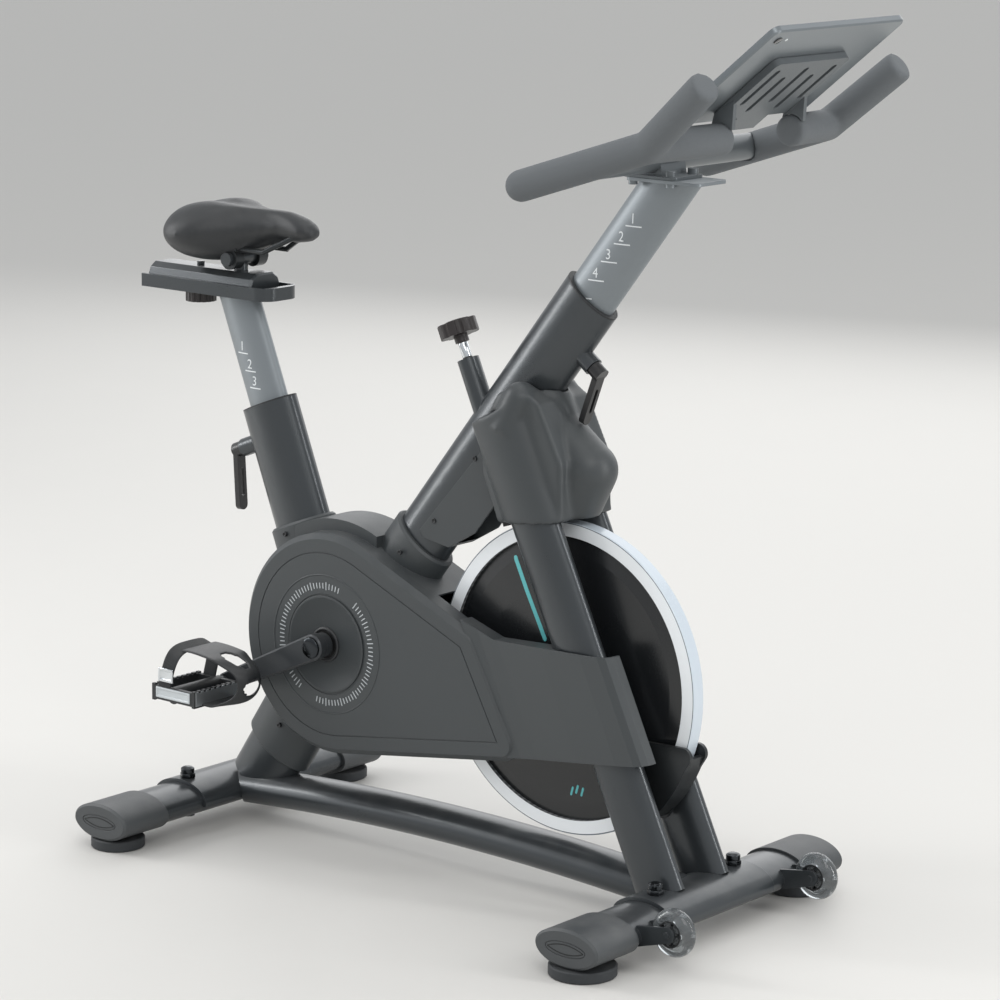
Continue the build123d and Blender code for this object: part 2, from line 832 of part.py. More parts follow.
def crank_and_pin(side, angle):
    """Crank arm with its boss, cap and the pedal pin it carries."""
    end_x = bottom_bracket_x + crank_length * cos(radians(angle))
    end_z = bottom_bracket_z + crank_length * sin(radians(angle))
    arm_inner = crank_outer_y - crank_arm_thickness
    arm_top = -arm_inner if side < 0 else crank_outer_y
    with BuildPart() as crank:
        add(cross_cylinder(
            bottom_bracket_x,
            bottom_bracket_z,
            16.0,
            min(side * crank_inner_y, side * crank_outer_y),
            max(side * crank_inner_y, side * crank_outer_y),
        ))
        with BuildSketch(side_plane(arm_top)):
            with Locations((bottom_bracket_x, bottom_bracket_z)):
                Circle(17.0)
            with Locations((end_x, end_z)):
                Circle(12.0)
            make_hull()
        extrude(amount=crank_arm_thickness)
        chamfer(crank.edges().filter_by(Plane.XZ).group_by(Axis.Y)[0 if side < 0 else -1], length=2.0)
        add(cross_cylinder(
            bottom_bracket_x,
            bottom_bracket_z,
            13.0,
            min(side * crank_outer_y, side * (crank_outer_y + 2.5)),
            max(side * crank_outer_y, side * (crank_outer_y + 2.5)),
        ))
        add(cross_cylinder(
            end_x,
            end_z,
            pedal_pin_radius,
            min(side * arm_inner, side * (pedal_outer_y - 8.0)),
            max(side * arm_inner, side * (pedal_outer_y - 8.0)),
        ))
        add(cross_cylinder(
            end_x,
            end_z,
            9.0,
            min(side * crank_outer_y, side * (pedal_inner_y - 1.0)),
            max(side * crank_outer_y, side * (pedal_inner_y - 1.0)),
        ))
        add(
            cross_cylinder(
                bottom_bracket_x,
                bottom_bracket_z,
                spindle_radius,
                -spindle_half_length,
                spindle_half_length,
            ),
            mode=Mode.SUBTRACT,
        )
    return crank.part, end_x, end_z


def pedal_body(side, x, z):
    """Cage pedal: two serrated rails, two end plates and a barrel on the pin."""
    inner = side * pedal_inner_y
    outer = side * pedal_outer_y
    y_low = min(inner, outer)
    y_high = max(inner, outer)
    y_mid = (inner + outer) / 2
    half = pedal_length / 2
    with BuildPart() as pedal:
        add(cross_cylinder(x, z, pedal_barrel_radius, y_low, y_high))
        for plate in (inner, outer - side * 6.0):
            with Locations((x, plate + side * 3.0, z)):
                Box(pedal_length - 8.0, 6.0, pedal_height - 6.0)
        for rail in (-1, 1):
            with Locations((x + rail * (half - 2.5), y_mid, z)):
                Box(5.0, pedal_outer_y - pedal_inner_y, pedal_height - 2.0)
            with GridLocations(0, 9.0, 1, 9):
                with Locations((x + rail * (half - 2.5), y_mid, z + pedal_height / 2 - 1.0)):
                    Box(5.1, 4.0, 4.0, mode=Mode.SUBTRACT)
        with Locations((x, y_mid, z)):
            Box(16.0, pedal_outer_y - pedal_inner_y, 12.0)
        add(
            cross_cylinder(
                x, z, pedal_pin_radius + running_clearance, y_low, y_high - 5.0 if side > 0 else y_high
            )
            if side > 0
            else cross_cylinder(x, z, pedal_pin_radius + running_clearance, y_low + 5.0, y_high),
            mode=Mode.SUBTRACT,
        )
    return pedal.part


cage_outline = [
    (38.0, -9.0),
    (60.0, -9.0),
    (88.0, -2.0),
    (104.0, 12.0),
    (107.0, 28.0),
    (98.0, 44.0),
    (70.0, 54.0),
    (30.0, 60.0),
    (4.0, 60.0),
]


def toe_clip(side, x, z):
    """Open cage round the toe with the strap that closes it over the foot."""
    y_mid = side * (pedal_inner_y + pedal_outer_y) / 2
    with BuildPart() as clip:
        with BuildSketch(Plane(origin=(x, y_mid, z), x_dir=(1, 0, 0), z_dir=(0, -1, 0))):
            with BuildLine():
                hook = Polyline(*cage_outline)
                offset(hook, amount=-toe_cage_wall, side=Side.LEFT)
            make_face()
        extrude(amount=toe_cage_width / 2, both=True)
        with BuildSketch(Plane.XY.offset(z + 20.0)):
            with Locations((x + 76.0, y_mid)):
                SlotOverall(30.0, 20.0)
        extrude(amount=50.0, mode=Mode.SUBTRACT)
        with BuildSketch(Plane(origin=(x + 90.0, y_mid, z + 20.0), x_dir=(0, 1, 0), z_dir=(1, 0, 0))):
            SlotOverall(36.0, 16.0)
        extrude(amount=40.0, mode=Mode.SUBTRACT)
        lean = radians(toe_strap_lean)
        across = Plane(
            origin=(x + toe_strap_foot_x, y_mid, z),
            x_dir=(0, 1, 0),
            z_dir=(-cos(lean), 0, sin(lean)),
        )
        with BuildSketch(across):
            outer_half = toe_strap_half_y
            inner_half = toe_strap_half_y - toe_strap_thickness
            with BuildLine():
                Polyline(
                    (-outer_half, 0.0),
                    (-outer_half, -50.0),
                    (-outer_half + 14.0, -toe_strap_top),
                    (outer_half - 14.0, -toe_strap_top),
                    (outer_half, -50.0),
                    (outer_half, 0.0),
                    (inner_half, 0.0),
                    (inner_half, -49.0),
                    (inner_half - 13.0, -toe_strap_top + toe_strap_thickness),
                    (-inner_half + 13.0, -toe_strap_top + toe_strap_thickness),
                    (-inner_half, -49.0),
                    (-inner_half, 0.0),
                    close=True,
                )
            make_face()
        extrude(amount=toe_strap_width / 2, both=True)
        with Locations((x, y_mid, z + pedal_height / 2 - 3.0)):
            Box(
                120.0,
                120.0,
                60.0,
                align=(Align.CENTER, Align.CENTER, Align.MAX),
                mode=Mode.SUBTRACT,
            )
        add(
            cross_cylinder(x, z, pedal_barrel_radius, y_mid - 60.0, y_mid + 60.0),
            mode=Mode.SUBTRACT,
        )
        with BuildSketch(Plane(origin=(x, y_mid, z), x_dir=(1, 0, 0), z_dir=(0, -1, 0))):
            with BuildLine():
                hook = Polyline(*cage_outline[:5])
                offset(hook, amount=-toe_cage_wall, side=Side.LEFT)
            make_face()
        extrude(amount=toe_cage_width / 2, both=True)
    return clip.part


near_crank_part, near_pedal_x, near_pedal_z = crank_and_pin(-1, 180.0 + crank_drop)
far_crank_part, far_pedal_x, far_pedal_z = crank_and_pin(1, crank_drop)

with BuildPart() as crank_near:
    add(near_crank_part)
save(crank_near, "crank_near")

with BuildPart() as crank_far:
    add(far_crank_part)
save(crank_far, "crank_far")

with BuildPart() as pedal_near:
    add(pedal_body(-1, near_pedal_x, near_pedal_z))
save(pedal_near, "pedal_near")

with BuildPart() as toe_clip_near:
    add(toe_clip(-1, near_pedal_x, near_pedal_z))
save(toe_clip_near, "toe_clip_near")

with BuildPart() as pedal_far:
    add(pedal_body(1, far_pedal_x, far_pedal_z))
save(pedal_far, "pedal_far")

with BuildPart() as toe_clip_far:
    add(toe_clip(1, far_pedal_x, far_pedal_z))
save(toe_clip_far, "toe_clip_far")

# ================================================================ brake
with BuildPart() as brake_rod:
    add(brake_bar(brake_rod_end, brake_knob_bottom + 2.0, brake_rod_radius))
    add(brake_bar(brake_knob_bottom - 9.0, brake_knob_bottom, 9.0))
    with BuildSketch(Plane(origin=brake_point(brake_knob_bottom), z_dir=(brake_dir[0], 0, brake_dir[1]))):
        Circle(brake_knob_radius)
        with PolarLocations(brake_knob_radius + 3.0, 8):
            Circle(6.0, mode=Mode.SUBTRACT)
    extrude(amount=brake_knob_height)
save(brake_rod, "brake_rod")

pad_contact = flywheel_radius + brake_pad_gap
with BuildPart() as brake_pad:
    add(brake_bar(pad_contact + 8.0, 236.0, 11.0))
    with BuildSketch(
        Plane(
            origin=brake_point(pad_contact - 3.0),
            x_dir=(0, 1, 0),
            z_dir=(brake_dir[0], 0, brake_dir[1]),
        )
    ):
        Rectangle(20.0, 40.0)
    extrude(amount=15.0)
    add(cross_cylinder(flywheel_x, flywheel_z, pad_contact, -20, 20), mode=Mode.SUBTRACT)
    add(brake_bar(brake_rod_end - 0.5, 237.0, brake_rod_radius + running_clearance), mode=Mode.SUBTRACT)
save(brake_pad, "brake_pad")

magnet_pivot_x = leg_x_at(magnet_pivot_z)
magnet_arm_gap = 13.0
magnet_arm_thickness = 5.0
magnet_angle = -33.0
magnet_reach = flywheel_radius + 5.0
with BuildPart() as magnet_bracket:
    for side in (-1, 1):
        arm_inner = side * magnet_arm_gap
        arm_outer = side * (magnet_arm_gap + magnet_arm_thickness)
        with BuildSketch(side_plane(max(arm_inner, arm_outer))):
            with Locations((magnet_pivot_x, magnet_pivot_z)):
                Circle(12.0)
            for swing in (-14.0, 14.0):
                tip = radians(magnet_angle + swing)
                with Locations((
                    flywheel_x + (magnet_reach - 4.0) * cos(tip),
                    flywheel_z + (magnet_reach - 4.0) * sin(tip),
                )):
                    Circle(12.0)
            make_hull()
        extrude(amount=magnet_arm_thickness)
        add(cross_cylinder(
            magnet_pivot_x, magnet_pivot_z, 5.0, min(arm_inner, arm_outer), max(arm_inner, arm_outer)
        ))
    with BuildSketch(side_plane(magnet_arm_gap + magnet_arm_thickness)):
        with BuildLine():
            tips = []
            for swing, reach in ((-14, magnet_reach), (0, magnet_reach), (14, magnet_reach)):
                turn = radians(magnet_angle + swing)
                tips.append((flywheel_x + reach * cos(turn), flywheel_z + reach * sin(turn)))
            outs = []
            for swing in (14, 0, -14):
                turn = radians(magnet_angle + swing)
                outs.append((
                    flywheel_x + (magnet_reach + 5.0) * cos(turn),
                    flywheel_z + (magnet_reach + 5.0) * sin(turn),
                ))
            ThreePointArc(*tips)
            Line(tips[2], outs[0])
            ThreePointArc(*outs)
            Line(outs[2], tips[0])
        make_face()
    extrude(amount=2 * (magnet_arm_gap + magnet_arm_thickness))
    add(
        cross_cylinder(
            magnet_pivot_x, magnet_pivot_z, magnet_pin_radius + running_clearance, -30, 30
        ),
        mode=Mode.SUBTRACT,
    )
save(magnet_bracket, "magnet_bracket")

# ================================================================ covers
face_circle = cover_circle_radius - cover_bevel
face_top_corner = (54.0, 335.5)
face_bottom_corner = (123.0, 183.0)


def cover_outline(grow, shrink_circle=0.0):
    """Sketch of the teardrop cover outline grown outwards by an amount."""
    with BuildSketch() as outline:
        with Locations((bottom_bracket_x, bottom_bracket_z - 1.0)):
            Circle(face_circle)
        with Locations((face_top_corner[0] - 15.0, face_top_corner[1] - 22.0)):
            Circle(14.0)
        with Locations((face_bottom_corner[0] - 20.0, face_bottom_corner[1] + 13.0)):
            Circle(14.0)
        make_hull()
        offset(amount=grow)
    return outline.sketch


def cover_plug(grow, y_face, y_back, bevel, side):
    """Solid teardrop with a bevelled outer rim; side -1 faces -Y and +1 faces +Y."""
    with BuildPart() as plug:
        start = max(side * y_face, side * y_back)
        with BuildSketch(side_plane(start)):
            add(cover_outline(grow))
        extrude(amount=abs(y_face - y_back))
        outer = plug.faces().sort_by(Axis.Y)[0 if side < 0 else -1]
        chamfer(outer.edges(), length=bevel)
    return plug.part


belt_window = [
    (40.0, flywheel_z + 52.0),
    (40.0, flywheel_z - 52.0),
    (150.0, flywheel_z - 44.0),
    (150.0, flywheel_z + 44.0),
]


def cover_half(side):
    """Hollow half shell of the chain cover with grooves and spindle hole."""
    face_y = cover_half_thickness
    with BuildPart() as half:
        add(cover_plug(cover_bevel, face_y, core_half_thickness, cover_bevel, side))
        add(
            cover_plug(
                cover_bevel - cover_wall, face_y - cover_wall, core_half_thickness - 1.0, cover_bevel, side
            ),
            mode=Mode.SUBTRACT,
        )
        groove_top = side * face_y if side > 0 else -face_y + 1.0
        for inset in (-17.0,):
            with BuildSketch(side_plane(groove_top)):
                add(cover_outline(inset))
                add(cover_outline(inset - 1.4), mode=Mode.SUBTRACT)
            extrude(amount=1.0, mode=Mode.SUBTRACT)
        with BuildSketch(side_plane(groove_top)):
            with Locations((bottom_bracket_x, bottom_bracket_z - 1.0)):
                Circle(66.0)
        extrude(amount=1.0, mode=Mode.SUBTRACT)
        add(
            cross_cylinder(bottom_bracket_x, bottom_bracket_z, spindle_hole_radius, -80, 80),
            mode=Mode.SUBTRACT,
        )
        low = min(side * 26.0, side * (face_y - cover_wall))
        high = max(side * 26.0, side * (face_y - cover_wall))
        with BuildSketch(side_plane(high)):
            with BuildLine():
                Polyline(*belt_window, close=True)
            make_face()
        extrude(amount=high - low, mode=Mode.SUBTRACT)
    return half.part


leg_dir = (cos(radians(leg_rise)), 0.0, sin(radians(leg_rise)))
wing_plane_z = 420.0
wing_outer = [
    (-172.0, -58.5),
    (-150.0, -56.5),
    (-122.0, -57.5),
    (-48.0, -65.0),
    (20.0, -wing_outer_y),
    (48.0, -wing_outer_y),
    (58.0, -66.0),
    (63.0, -58.0),
    (65.0, -46.0),
]
wing_inner = [
    (65.0 - wing_wall, -46.0),
    (60.0, -57.0),
    (55.5, -64.0),
    (47.0, -wing_outer_y + wing_wall),
    (20.0, -wing_outer_y + wing_wall),
    (-48.0, -65.0 + wing_wall),
    (-122.0, -57.5 + wing_wall),
    (-172.0, -52.0),
]


with BuildPart() as wing_trim:
    with BuildSketch(side_plane(0.0)):
        with BuildLine():
            Polyline(
                (30.0, 347.0),
                (88.0, 328.0),
                (290.0, 338.0),
                (352.0, 216.0),
                (100.0, 179.5),
                close=True,
            )
        make_face()
    extrude(amount=120.0)

with BuildPart() as cover_near:
    add(cover_half(-1))
    with BuildPart(mode=Mode.PRIVATE) as wing:
        plan_x = leg_x_at(wing_plane_z)
        with BuildSketch(Plane(origin=(plan_x, 0, wing_plane_z), x_dir=(1, 0, 0), z_dir=(0, 0, 1))):
            with BuildLine():
                Polyline(*wing_outer, *wing_inner, close=True)
            make_face()
        extrude(amount=300.0, dir=(-leg_dir[0], 0, -leg_dir[2]))
        add(wing_trim.part, mode=Mode.INTERSECT)
    add(wing.part)
    with BuildPart(mode=Mode.PRIVATE) as ledge:
        with BuildSketch(Plane(origin=(plan_x, 0, wing_plane_z), x_dir=(1, 0, 0), z_dir=(0, 0, 1))):
            with BuildLine():
                Polyline(*wing_outer[:5], (20.0, -ledge_inner_y), (-172.0, -ledge_inner_y), close=True)
            make_face()
        extrude(amount=300.0, dir=(-leg_dir[0], 0, -leg_dir[2]))
        with BuildSketch(side_plane(0.0)):
            with BuildLine():
                Polyline(
                    (30.0, 346.5),
                    (88.0, 327.5),
                    (190.0, 332.0),
                    (190.0, 329.0),
                    (88.0, 324.5),
                    (30.0, 343.0),
                    close=True,
                )
            make_face()
        extrude(amount=120.0, mode=Mode.INTERSECT)
        add(leg_bar(-1, leg_length, leg_width + 1.0, leg_thickness + 1.0), mode=Mode.SUBTRACT)
    add(ledge.part)
save(cover_near, "cover_near")

with BuildPart() as cover_far:
    add(cover_half(1))
save(cover_far, "cover_far")

collar_wall = 7.0
seat_collar_from = 118.0
seat_collar_to = 166.0
main_collar_from = 128.0
main_collar_to = 188.0
rear_collar_from = 66.0
rear_collar_to = 112.0


def collar_ring(x, z, rise, start, stop, width, thickness, tip):
    """Solid oval collar round a frame tube with a bevelled mouth."""
    px, pz = along(x, z, rise, start)
    with BuildPart() as ring:
        with BuildSketch(rising_plane(px, pz, rise)):
            Ellipse(width / 2 + collar_wall, thickness / 2 + collar_wall)
        extrude(amount=stop - start)
        mouth = ring.faces().sort_by(Axis((px, 0, pz), (cos(radians(rise)), 0, sin(radians(rise)))))[tip]
        chamfer(mouth.edges(), length=3.0)
    return ring.part


with BuildPart() as cover_core:
    with BuildSketch(side_plane(core_half_thickness)):
        add(cover_outline(cover_bevel))
    extrude(amount=2 * core_half_thickness)
    add(collar_ring(
        bottom_bracket_x, bottom_bracket_z, main_rise,
        main_collar_from, main_collar_to, main_width, main_thickness, -1,
    ))
    add(collar_ring(
        seat_knee_x, seat_knee_z, seat_rise,
        seat_collar_from, seat_collar_to, seat_tube_width, seat_tube_thickness, -1,
    ))
    add(collar_ring(
        rear_post_foot_x, rear_post_foot_z, rear_post_rise,
        rear_collar_from, rear_collar_to + 30, rear_post_width, rear_post_thickness, 0,
    ))
    with BuildSketch(side_plane(core_half_thickness - 6.0)):
        with Locations((bottom_bracket_x - 4.0, bottom_bracket_z - 1.0)):
            Circle(face_circle + 22.0)
        with BuildLine():
            Polyline(
                (bottom_bracket_x - 80.0, bottom_bracket_z + 100.0),
                (bottom_bracket_x + 60.0, bottom_bracket_z + 100.0),
                (bottom_bracket_x + 60.0, bottom_bracket_z + 180.0),
                (bottom_bracket_x - 80.0, bottom_bracket_z + 180.0),
                close=True,
            )
        make_face(mode=Mode.INTERSECT)
    extrude(amount=2 * (core_half_thickness - 6.0))
    with BuildSketch(side_plane(core_half_thickness)):
        add(cover_outline(cover_bevel - cover_wall))
    extrude(amount=2 * core_half_thickness, mode=Mode.SUBTRACT)
    add(main_solid, mode=Mode.SUBTRACT)
    add(seat_solid, mode=Mode.SUBTRACT)
    add(rear_post_solid, mode=Mode.SUBTRACT)
    add(
        cross_cylinder(flywheel_x, flywheel_z, flywheel_radius + 6.0, -slot_half_width, slot_half_width),
        mode=Mode.SUBTRACT,
    )
    with BuildSketch(side_plane(core_half_thickness)):
        with BuildLine():
            Polyline(*belt_window, close=True)
        make_face()
    extrude(amount=2 * core_half_thickness, mode=Mode.SUBTRACT)
save(cover_core, "cover_core")

shroud_wall = 3.0
shroud_drape_width = leg_width + 16.0
shroud_drape_thickness = leg_thickness + 10.0
nose_path = [
    ((131.0, 0.0, 628.0), 24.0),
    ((143.0, 0.0, 594.0), 27.0),
    ((190.0, 0.0, 547.0), 35.0),
    ((170.0, 0.0, 506.0), 34.0),
]


def tapered_segment(start, start_radius, end, end_radius):
    """Round bar between two points whose radius changes along it."""
    direction = (Vector(*end) - Vector(*start)).normalized()
    with BuildPart() as bar:
        with BuildSketch(Plane(origin=start, z_dir=direction)):
            Circle(start_radius)
        with BuildSketch(Plane(origin=end, z_dir=direction)):
            Circle(end_radius)
        loft()
    return bar.part


def shroud_nose(shrink):
    """Bulb in front of the shroud, shrunk by the wall for its cavity."""
    with BuildPart() as bulb:
        for (centre, radius), (following, next_radius) in zip(nose_path, nose_path[1:]):
            with Locations(centre):
                Sphere(radius - shrink)
            add(tapered_segment(centre, radius - shrink, following, next_radius - shrink))
        with Locations(nose_path[-1][0]):
            Sphere(nose_path[-1][1] - shrink)
    return bulb.part


with BuildPart() as shroud:
    for side in (-1, 1):
        add(leg_bar(side, leg_length, shroud_drape_width, shroud_drape_thickness))
        shoulder = (98.0, side * leg_spacing_y, 590.0)
        crest = (112.0, side * (leg_spacing_y - 6.0), 630.0)
        add(tapered_segment(shoulder, 26.0, crest, 22.0))
        with Locations(crest):
            Sphere(22.0)
    with BuildSketch(side_plane(leg_spacing_y + 6.0)):
        with BuildLine():
            Polyline(
                (86.0, 474.0),
                (186.0, 486.0),
                (184.0, 560.0),
                (148.0, 630.0),
                (116.0, 648.0),
                (84.0, 636.0),
                (58.0, 590.0),
                (62.0, 530.0),
                close=True,
            )
        make_face()
    extrude(amount=2 * leg_spacing_y + 12.0)
    add(shroud_nose(0.0))
    with BuildSketch(side_plane(120.0)):
        with BuildLine():
            Polyline((-100.0, 450.0), (500.0, 528.0), (500.0, -20.0), (-100.0, -20.0), close=True)
        make_face()
    extrude(amount=240.0, mode=Mode.SUBTRACT)
    with BuildSketch(side_plane(leg_spacing_y - leg_thickness / 2 + 6.0)):
        with BuildLine():
            Polyline(
                (70.0, 440.0),
                (180.0, 440.0),
                (180.0, 560.0),
                (146.0, 622.0),
                (116.0, 640.0),
                (90.0, 630.0),
                (64.0, 588.0),
                (66.0, 530.0),
                close=True,
            )
        make_face()
    extrude(amount=2 * leg_spacing_y - leg_thickness + 12.0, mode=Mode.SUBTRACT)
    add(shroud_nose(shroud_wall), mode=Mode.SUBTRACT)
    for side in (-1, 1):
        add(leg_bar(side, leg_length, leg_width, leg_thickness), mode=Mode.SUBTRACT)
    add(main_solid, mode=Mode.SUBTRACT)
    add(fork_crown.part, mode=Mode.SUBTRACT)
    add(
        cross_cylinder(flywheel_x, flywheel_z, flywheel_radius + 8.0, -26.0, 26.0),
        mode=Mode.SUBTRACT,
    )
save(shroud, "shroud")

gusset_half = 24.0
gusset_wall = 2.5
gusset_points = [(-62.0, 440.0), (-56.0, 431.0), (-14.0, 424.0), (28.0, 448.0), (58.0, 486.0), (52.0, 570.0)]
gusset_cavity = [(-40.0, 440.0), (-14.0, 427.0), (60.0, 449.0), (80.0, 486.0), (80.0, 590.0)]
with BuildPart() as gusset_cover:
    with BuildSketch(side_plane(gusset_half)):
        with BuildLine():
            Polyline(*gusset_points, close=True)
        make_face()
    extrude(amount=2 * gusset_half)
    with BuildSketch(side_plane(gusset_half - gusset_wall)):
        with BuildLine():
            Polyline(*gusset_cavity, close=True)
        make_face()
    extrude(amount=2 * (gusset_half - gusset_wall), mode=Mode.SUBTRACT)
    add(main_solid, mode=Mode.SUBTRACT)
    add(shroud.part, mode=Mode.SUBTRACT)
save(gusset_cover, "gusset_cover")

# ================================================================ saddle group
with BuildPart() as seat_guide:
    add(oval_bar(
        *along(seat_knee_x, seat_knee_z, seat_rise, seat_tube_length - seat_guide_length),
        seat_rise,
        seat_guide_length,
        seat_tube_width - 2 * tube_wall,
        seat_tube_thickness - 2 * tube_wall,
    ))
    add(oval_bar(
        *seat_tube_top, seat_rise, guide_lip, seat_tube_width, seat_tube_thickness
    ))
    add(
        oval_bar(
            *along(seat_knee_x, seat_knee_z, seat_rise, seat_tube_length - seat_guide_length - 1.0),
            seat_rise,
            seat_guide_length + 10.0,
            seat_post_width + 2 * slide_clearance,
            seat_post_thickness + 2 * slide_clearance,
        ),
        mode=Mode.SUBTRACT,
    )
    add(
        segment(
            seat_normal_point(seat_tube_length - seat_boss_drop, 20.0),
            seat_normal_point(seat_tube_length - seat_boss_drop, seat_boss_out),
            clamp_screw_radius + 0.1,
        ),
        mode=Mode.SUBTRACT,
    )
save(seat_guide, "seat_guide")

seat_post_top_distance = (seat_post_top_z - seat_knee_z) / cos(radians(seat_lean))
seat_post_start = seat_tube_length - seat_post_insertion
with BuildPart() as seat_post:
    add(oval_bar(
        *along(seat_knee_x, seat_knee_z, seat_rise, seat_post_start),
        seat_rise,
        seat_post_top_distance - seat_post_start + 20.0,
        seat_post_width,
        seat_post_thickness,
    ))
    add(
        oval_bar(
            *along(seat_knee_x, seat_knee_z, seat_rise, seat_post_start),
            seat_rise,
            seat_post_top_distance - seat_post_start - 16.0,
            seat_post_width - 2 * post_wall,
            seat_post_thickness - 2 * post_wall,
        ),
        mode=Mode.SUBTRACT,
    )
    with Locations((-400, 0, seat_post_top_z)):
        Box(300, 100, 100, align=(Align.CENTER, Align.CENTER, Align.MIN), mode=Mode.SUBTRACT)
save(seat_post, "seat_post")

tray_middle_x = (tray_rear_x + tray_front_x) / 2
tray_length = tray_front_x - tray_rear_x
knob_travel_back = 60.0
knob_travel_front = 10.0
with BuildPart() as seat_tray:
    with BuildSketch(Plane.XY.offset(seat_post_top_z)):
        with Locations((tray_middle_x, 0)):
            Rectangle(tray_length, tray_width)
    extrude(amount=tray_floor + tray_depth)
    front_edges = seat_tray.edges().filter_by(Axis.Z).group_by(Axis.X)[-1]
    fillet(front_edges, radius=22.0)
    with BuildSketch(Plane.XY.offset(seat_post_top_z + tray_floor)):
        with Locations((tray_middle_x - 6.0, 0)):
            Rectangle(tray_length - 6.0, slider_width + 2 * slide_clearance)
    extrude(amount=tray_depth + 1.0, mode=Mode.SUBTRACT)
    with BuildSketch(Plane.XY.offset(seat_post_top_z - 1.0)):
        slot_from = seat_knob_x - knob_travel_back - 6.0
        slot_to = seat_knob_x + knob_travel_front + 6.0
        with Locations(((slot_from + slot_to) / 2, 0)):
            SlotOverall(slot_to - slot_from, 9.0)
    extrude(amount=tray_floor + 2.0, mode=Mode.SUBTRACT)
save(seat_tray, "seat_tray")

slider_floor_z = seat_post_top_z + tray_floor + slide_clearance
with BuildPart() as seat_slider:
    slider_half = slider_width / 2
    with BuildSketch(Plane(origin=(slider_rear_x, 0, slider_floor_z), x_dir=(0, 1, 0), z_dir=(1, 0, 0))):
        with BuildLine():
            Polyline(
                (-slider_half, 0),
                (slider_half, 0),
                (slider_half, slider_height * 0.45),
                (slider_half - 4.0, slider_height * 0.78),
                (slider_half - 13.0, slider_height),
                (-slider_half + 13.0, slider_height),
                (-slider_half + 4.0, slider_height * 0.78),
                (-slider_half, slider_height * 0.45),
                close=True,
            )
        make_face()
    extrude(amount=slider_front_x - slider_rear_x)
    fillet(seat_slider.edges().filter_by(Axis.X), radius=3.0)
    chamfer(seat_slider.faces().sort_by(Axis.X)[-1].edges().sort_by(Axis.Z)[1:], length=2.5)
    slider_top_z = slider_floor_z + slider_height
    with Locations((clamp_x - 6.0, 0, slider_top_z - 2.0)):
        Cylinder(9.0, clamp_z - slider_top_z + 2.0, align=(Align.CENTER, Align.CENTER, Align.MIN))
    add(cross_cylinder(clamp_x, clamp_z, clamp_barrel_radius, -36.0, 36.0))
    with Locations((seat_knob_x, 0, slider_top_z - 1.0)):
        Cylinder(5.0, 6.0, align=(Align.CENTER, Align.CENTER, Align.MIN))
    with Locations((seat_knob_x, 0, slider_floor_z)):
        Cylinder(4.1, 22.0, align=(Align.CENTER, Align.CENTER, Align.MIN), mode=Mode.SUBTRACT)
save(seat_slider, "seat_slider")

with BuildPart() as seat_knob:
    with BuildSketch(Plane.XY.offset(seat_post_top_z - slide_clearance - 15.0)):
        with Locations((seat_knob_x, 0)):
            Circle(seat_knob_radius)
            with PolarLocations(seat_knob_radius + 1.5, 16):
                Circle(2.6, mode=Mode.SUBTRACT)
    extrude(amount=15.0)
    with Locations((seat_knob_x, 0, seat_post_top_z - slide_clearance - 1.0)):
        Cylinder(4.0, 22.0, align=(Align.CENTER, Align.CENTER, Align.MIN))
save(seat_knob, "seat_knob")

rail_y = 22.0
rail_radius = 3.5
rail_z = clamp_z + 13.0
with BuildPart() as saddle_base:
    for side in (-1, 1):
        low = min(side * 14.0, side * 30.0)
        high = max(side * 14.0, side * 30.0)
        add(cross_cylinder(clamp_x, clamp_z, clamp_ring_radius, low, high))
        add(segment((-470.0, side * rail_y, 776.0), (-438.0, side * rail_y, rail_z), rail_radius))
        add(segment((-440.0, side * rail_y, rail_z), (-330.0, side * rail_y, rail_z), rail_radius))
        add(segment((-332.0, side * rail_y, rail_z), (-290.0, side * 8.0, 788.0), rail_radius))
        with Locations((-470.0, side * rail_y, 776.0)):
            Sphere(rail_radius)
    with Locations((clamp_x, 0, rail_z)):
        Box(26.0, 60.0, 4.0)
    add(cross_cylinder(clamp_x, clamp_z, clamp_barrel_radius + running_clearance, -60, 60), mode=Mode.SUBTRACT)

saddle_sections = [
    (-492.0, 60.0, 22.0, 792.0),
    (-484.0, 74.0, 31.0, 790.0),
    (-462.0, 84.0, 36.0, 789.0),
    (-430.0, 82.0, 35.0, 791.0),
    (-395.0, 62.0, 29.0, 795.0),
    (-360.0, 38.0, 22.0, 799.0),
    (-325.0, 27.0, 16.0, 803.0),
    (-290.0, 23.0, 14.0, 804.0),
    (-262.0, 18.0, 11.5, 801.0),
    (-253.0, 9.0, 6.0, 799.0),
]
with BuildPart() as saddle:
    for section_x, half_width, half_height, middle_z in saddle_sections:
        with BuildSketch(Plane(origin=(section_x, 0, middle_z), x_dir=(0, 1, 0), z_dir=(1, 0, 0))):
            Ellipse(half_width, half_height)
    loft()
    add(saddle_base.part, mode=Mode.SUBTRACT)
save(saddle_base, "saddle_base")
save(saddle, "saddle")


lever_lean = 18.0


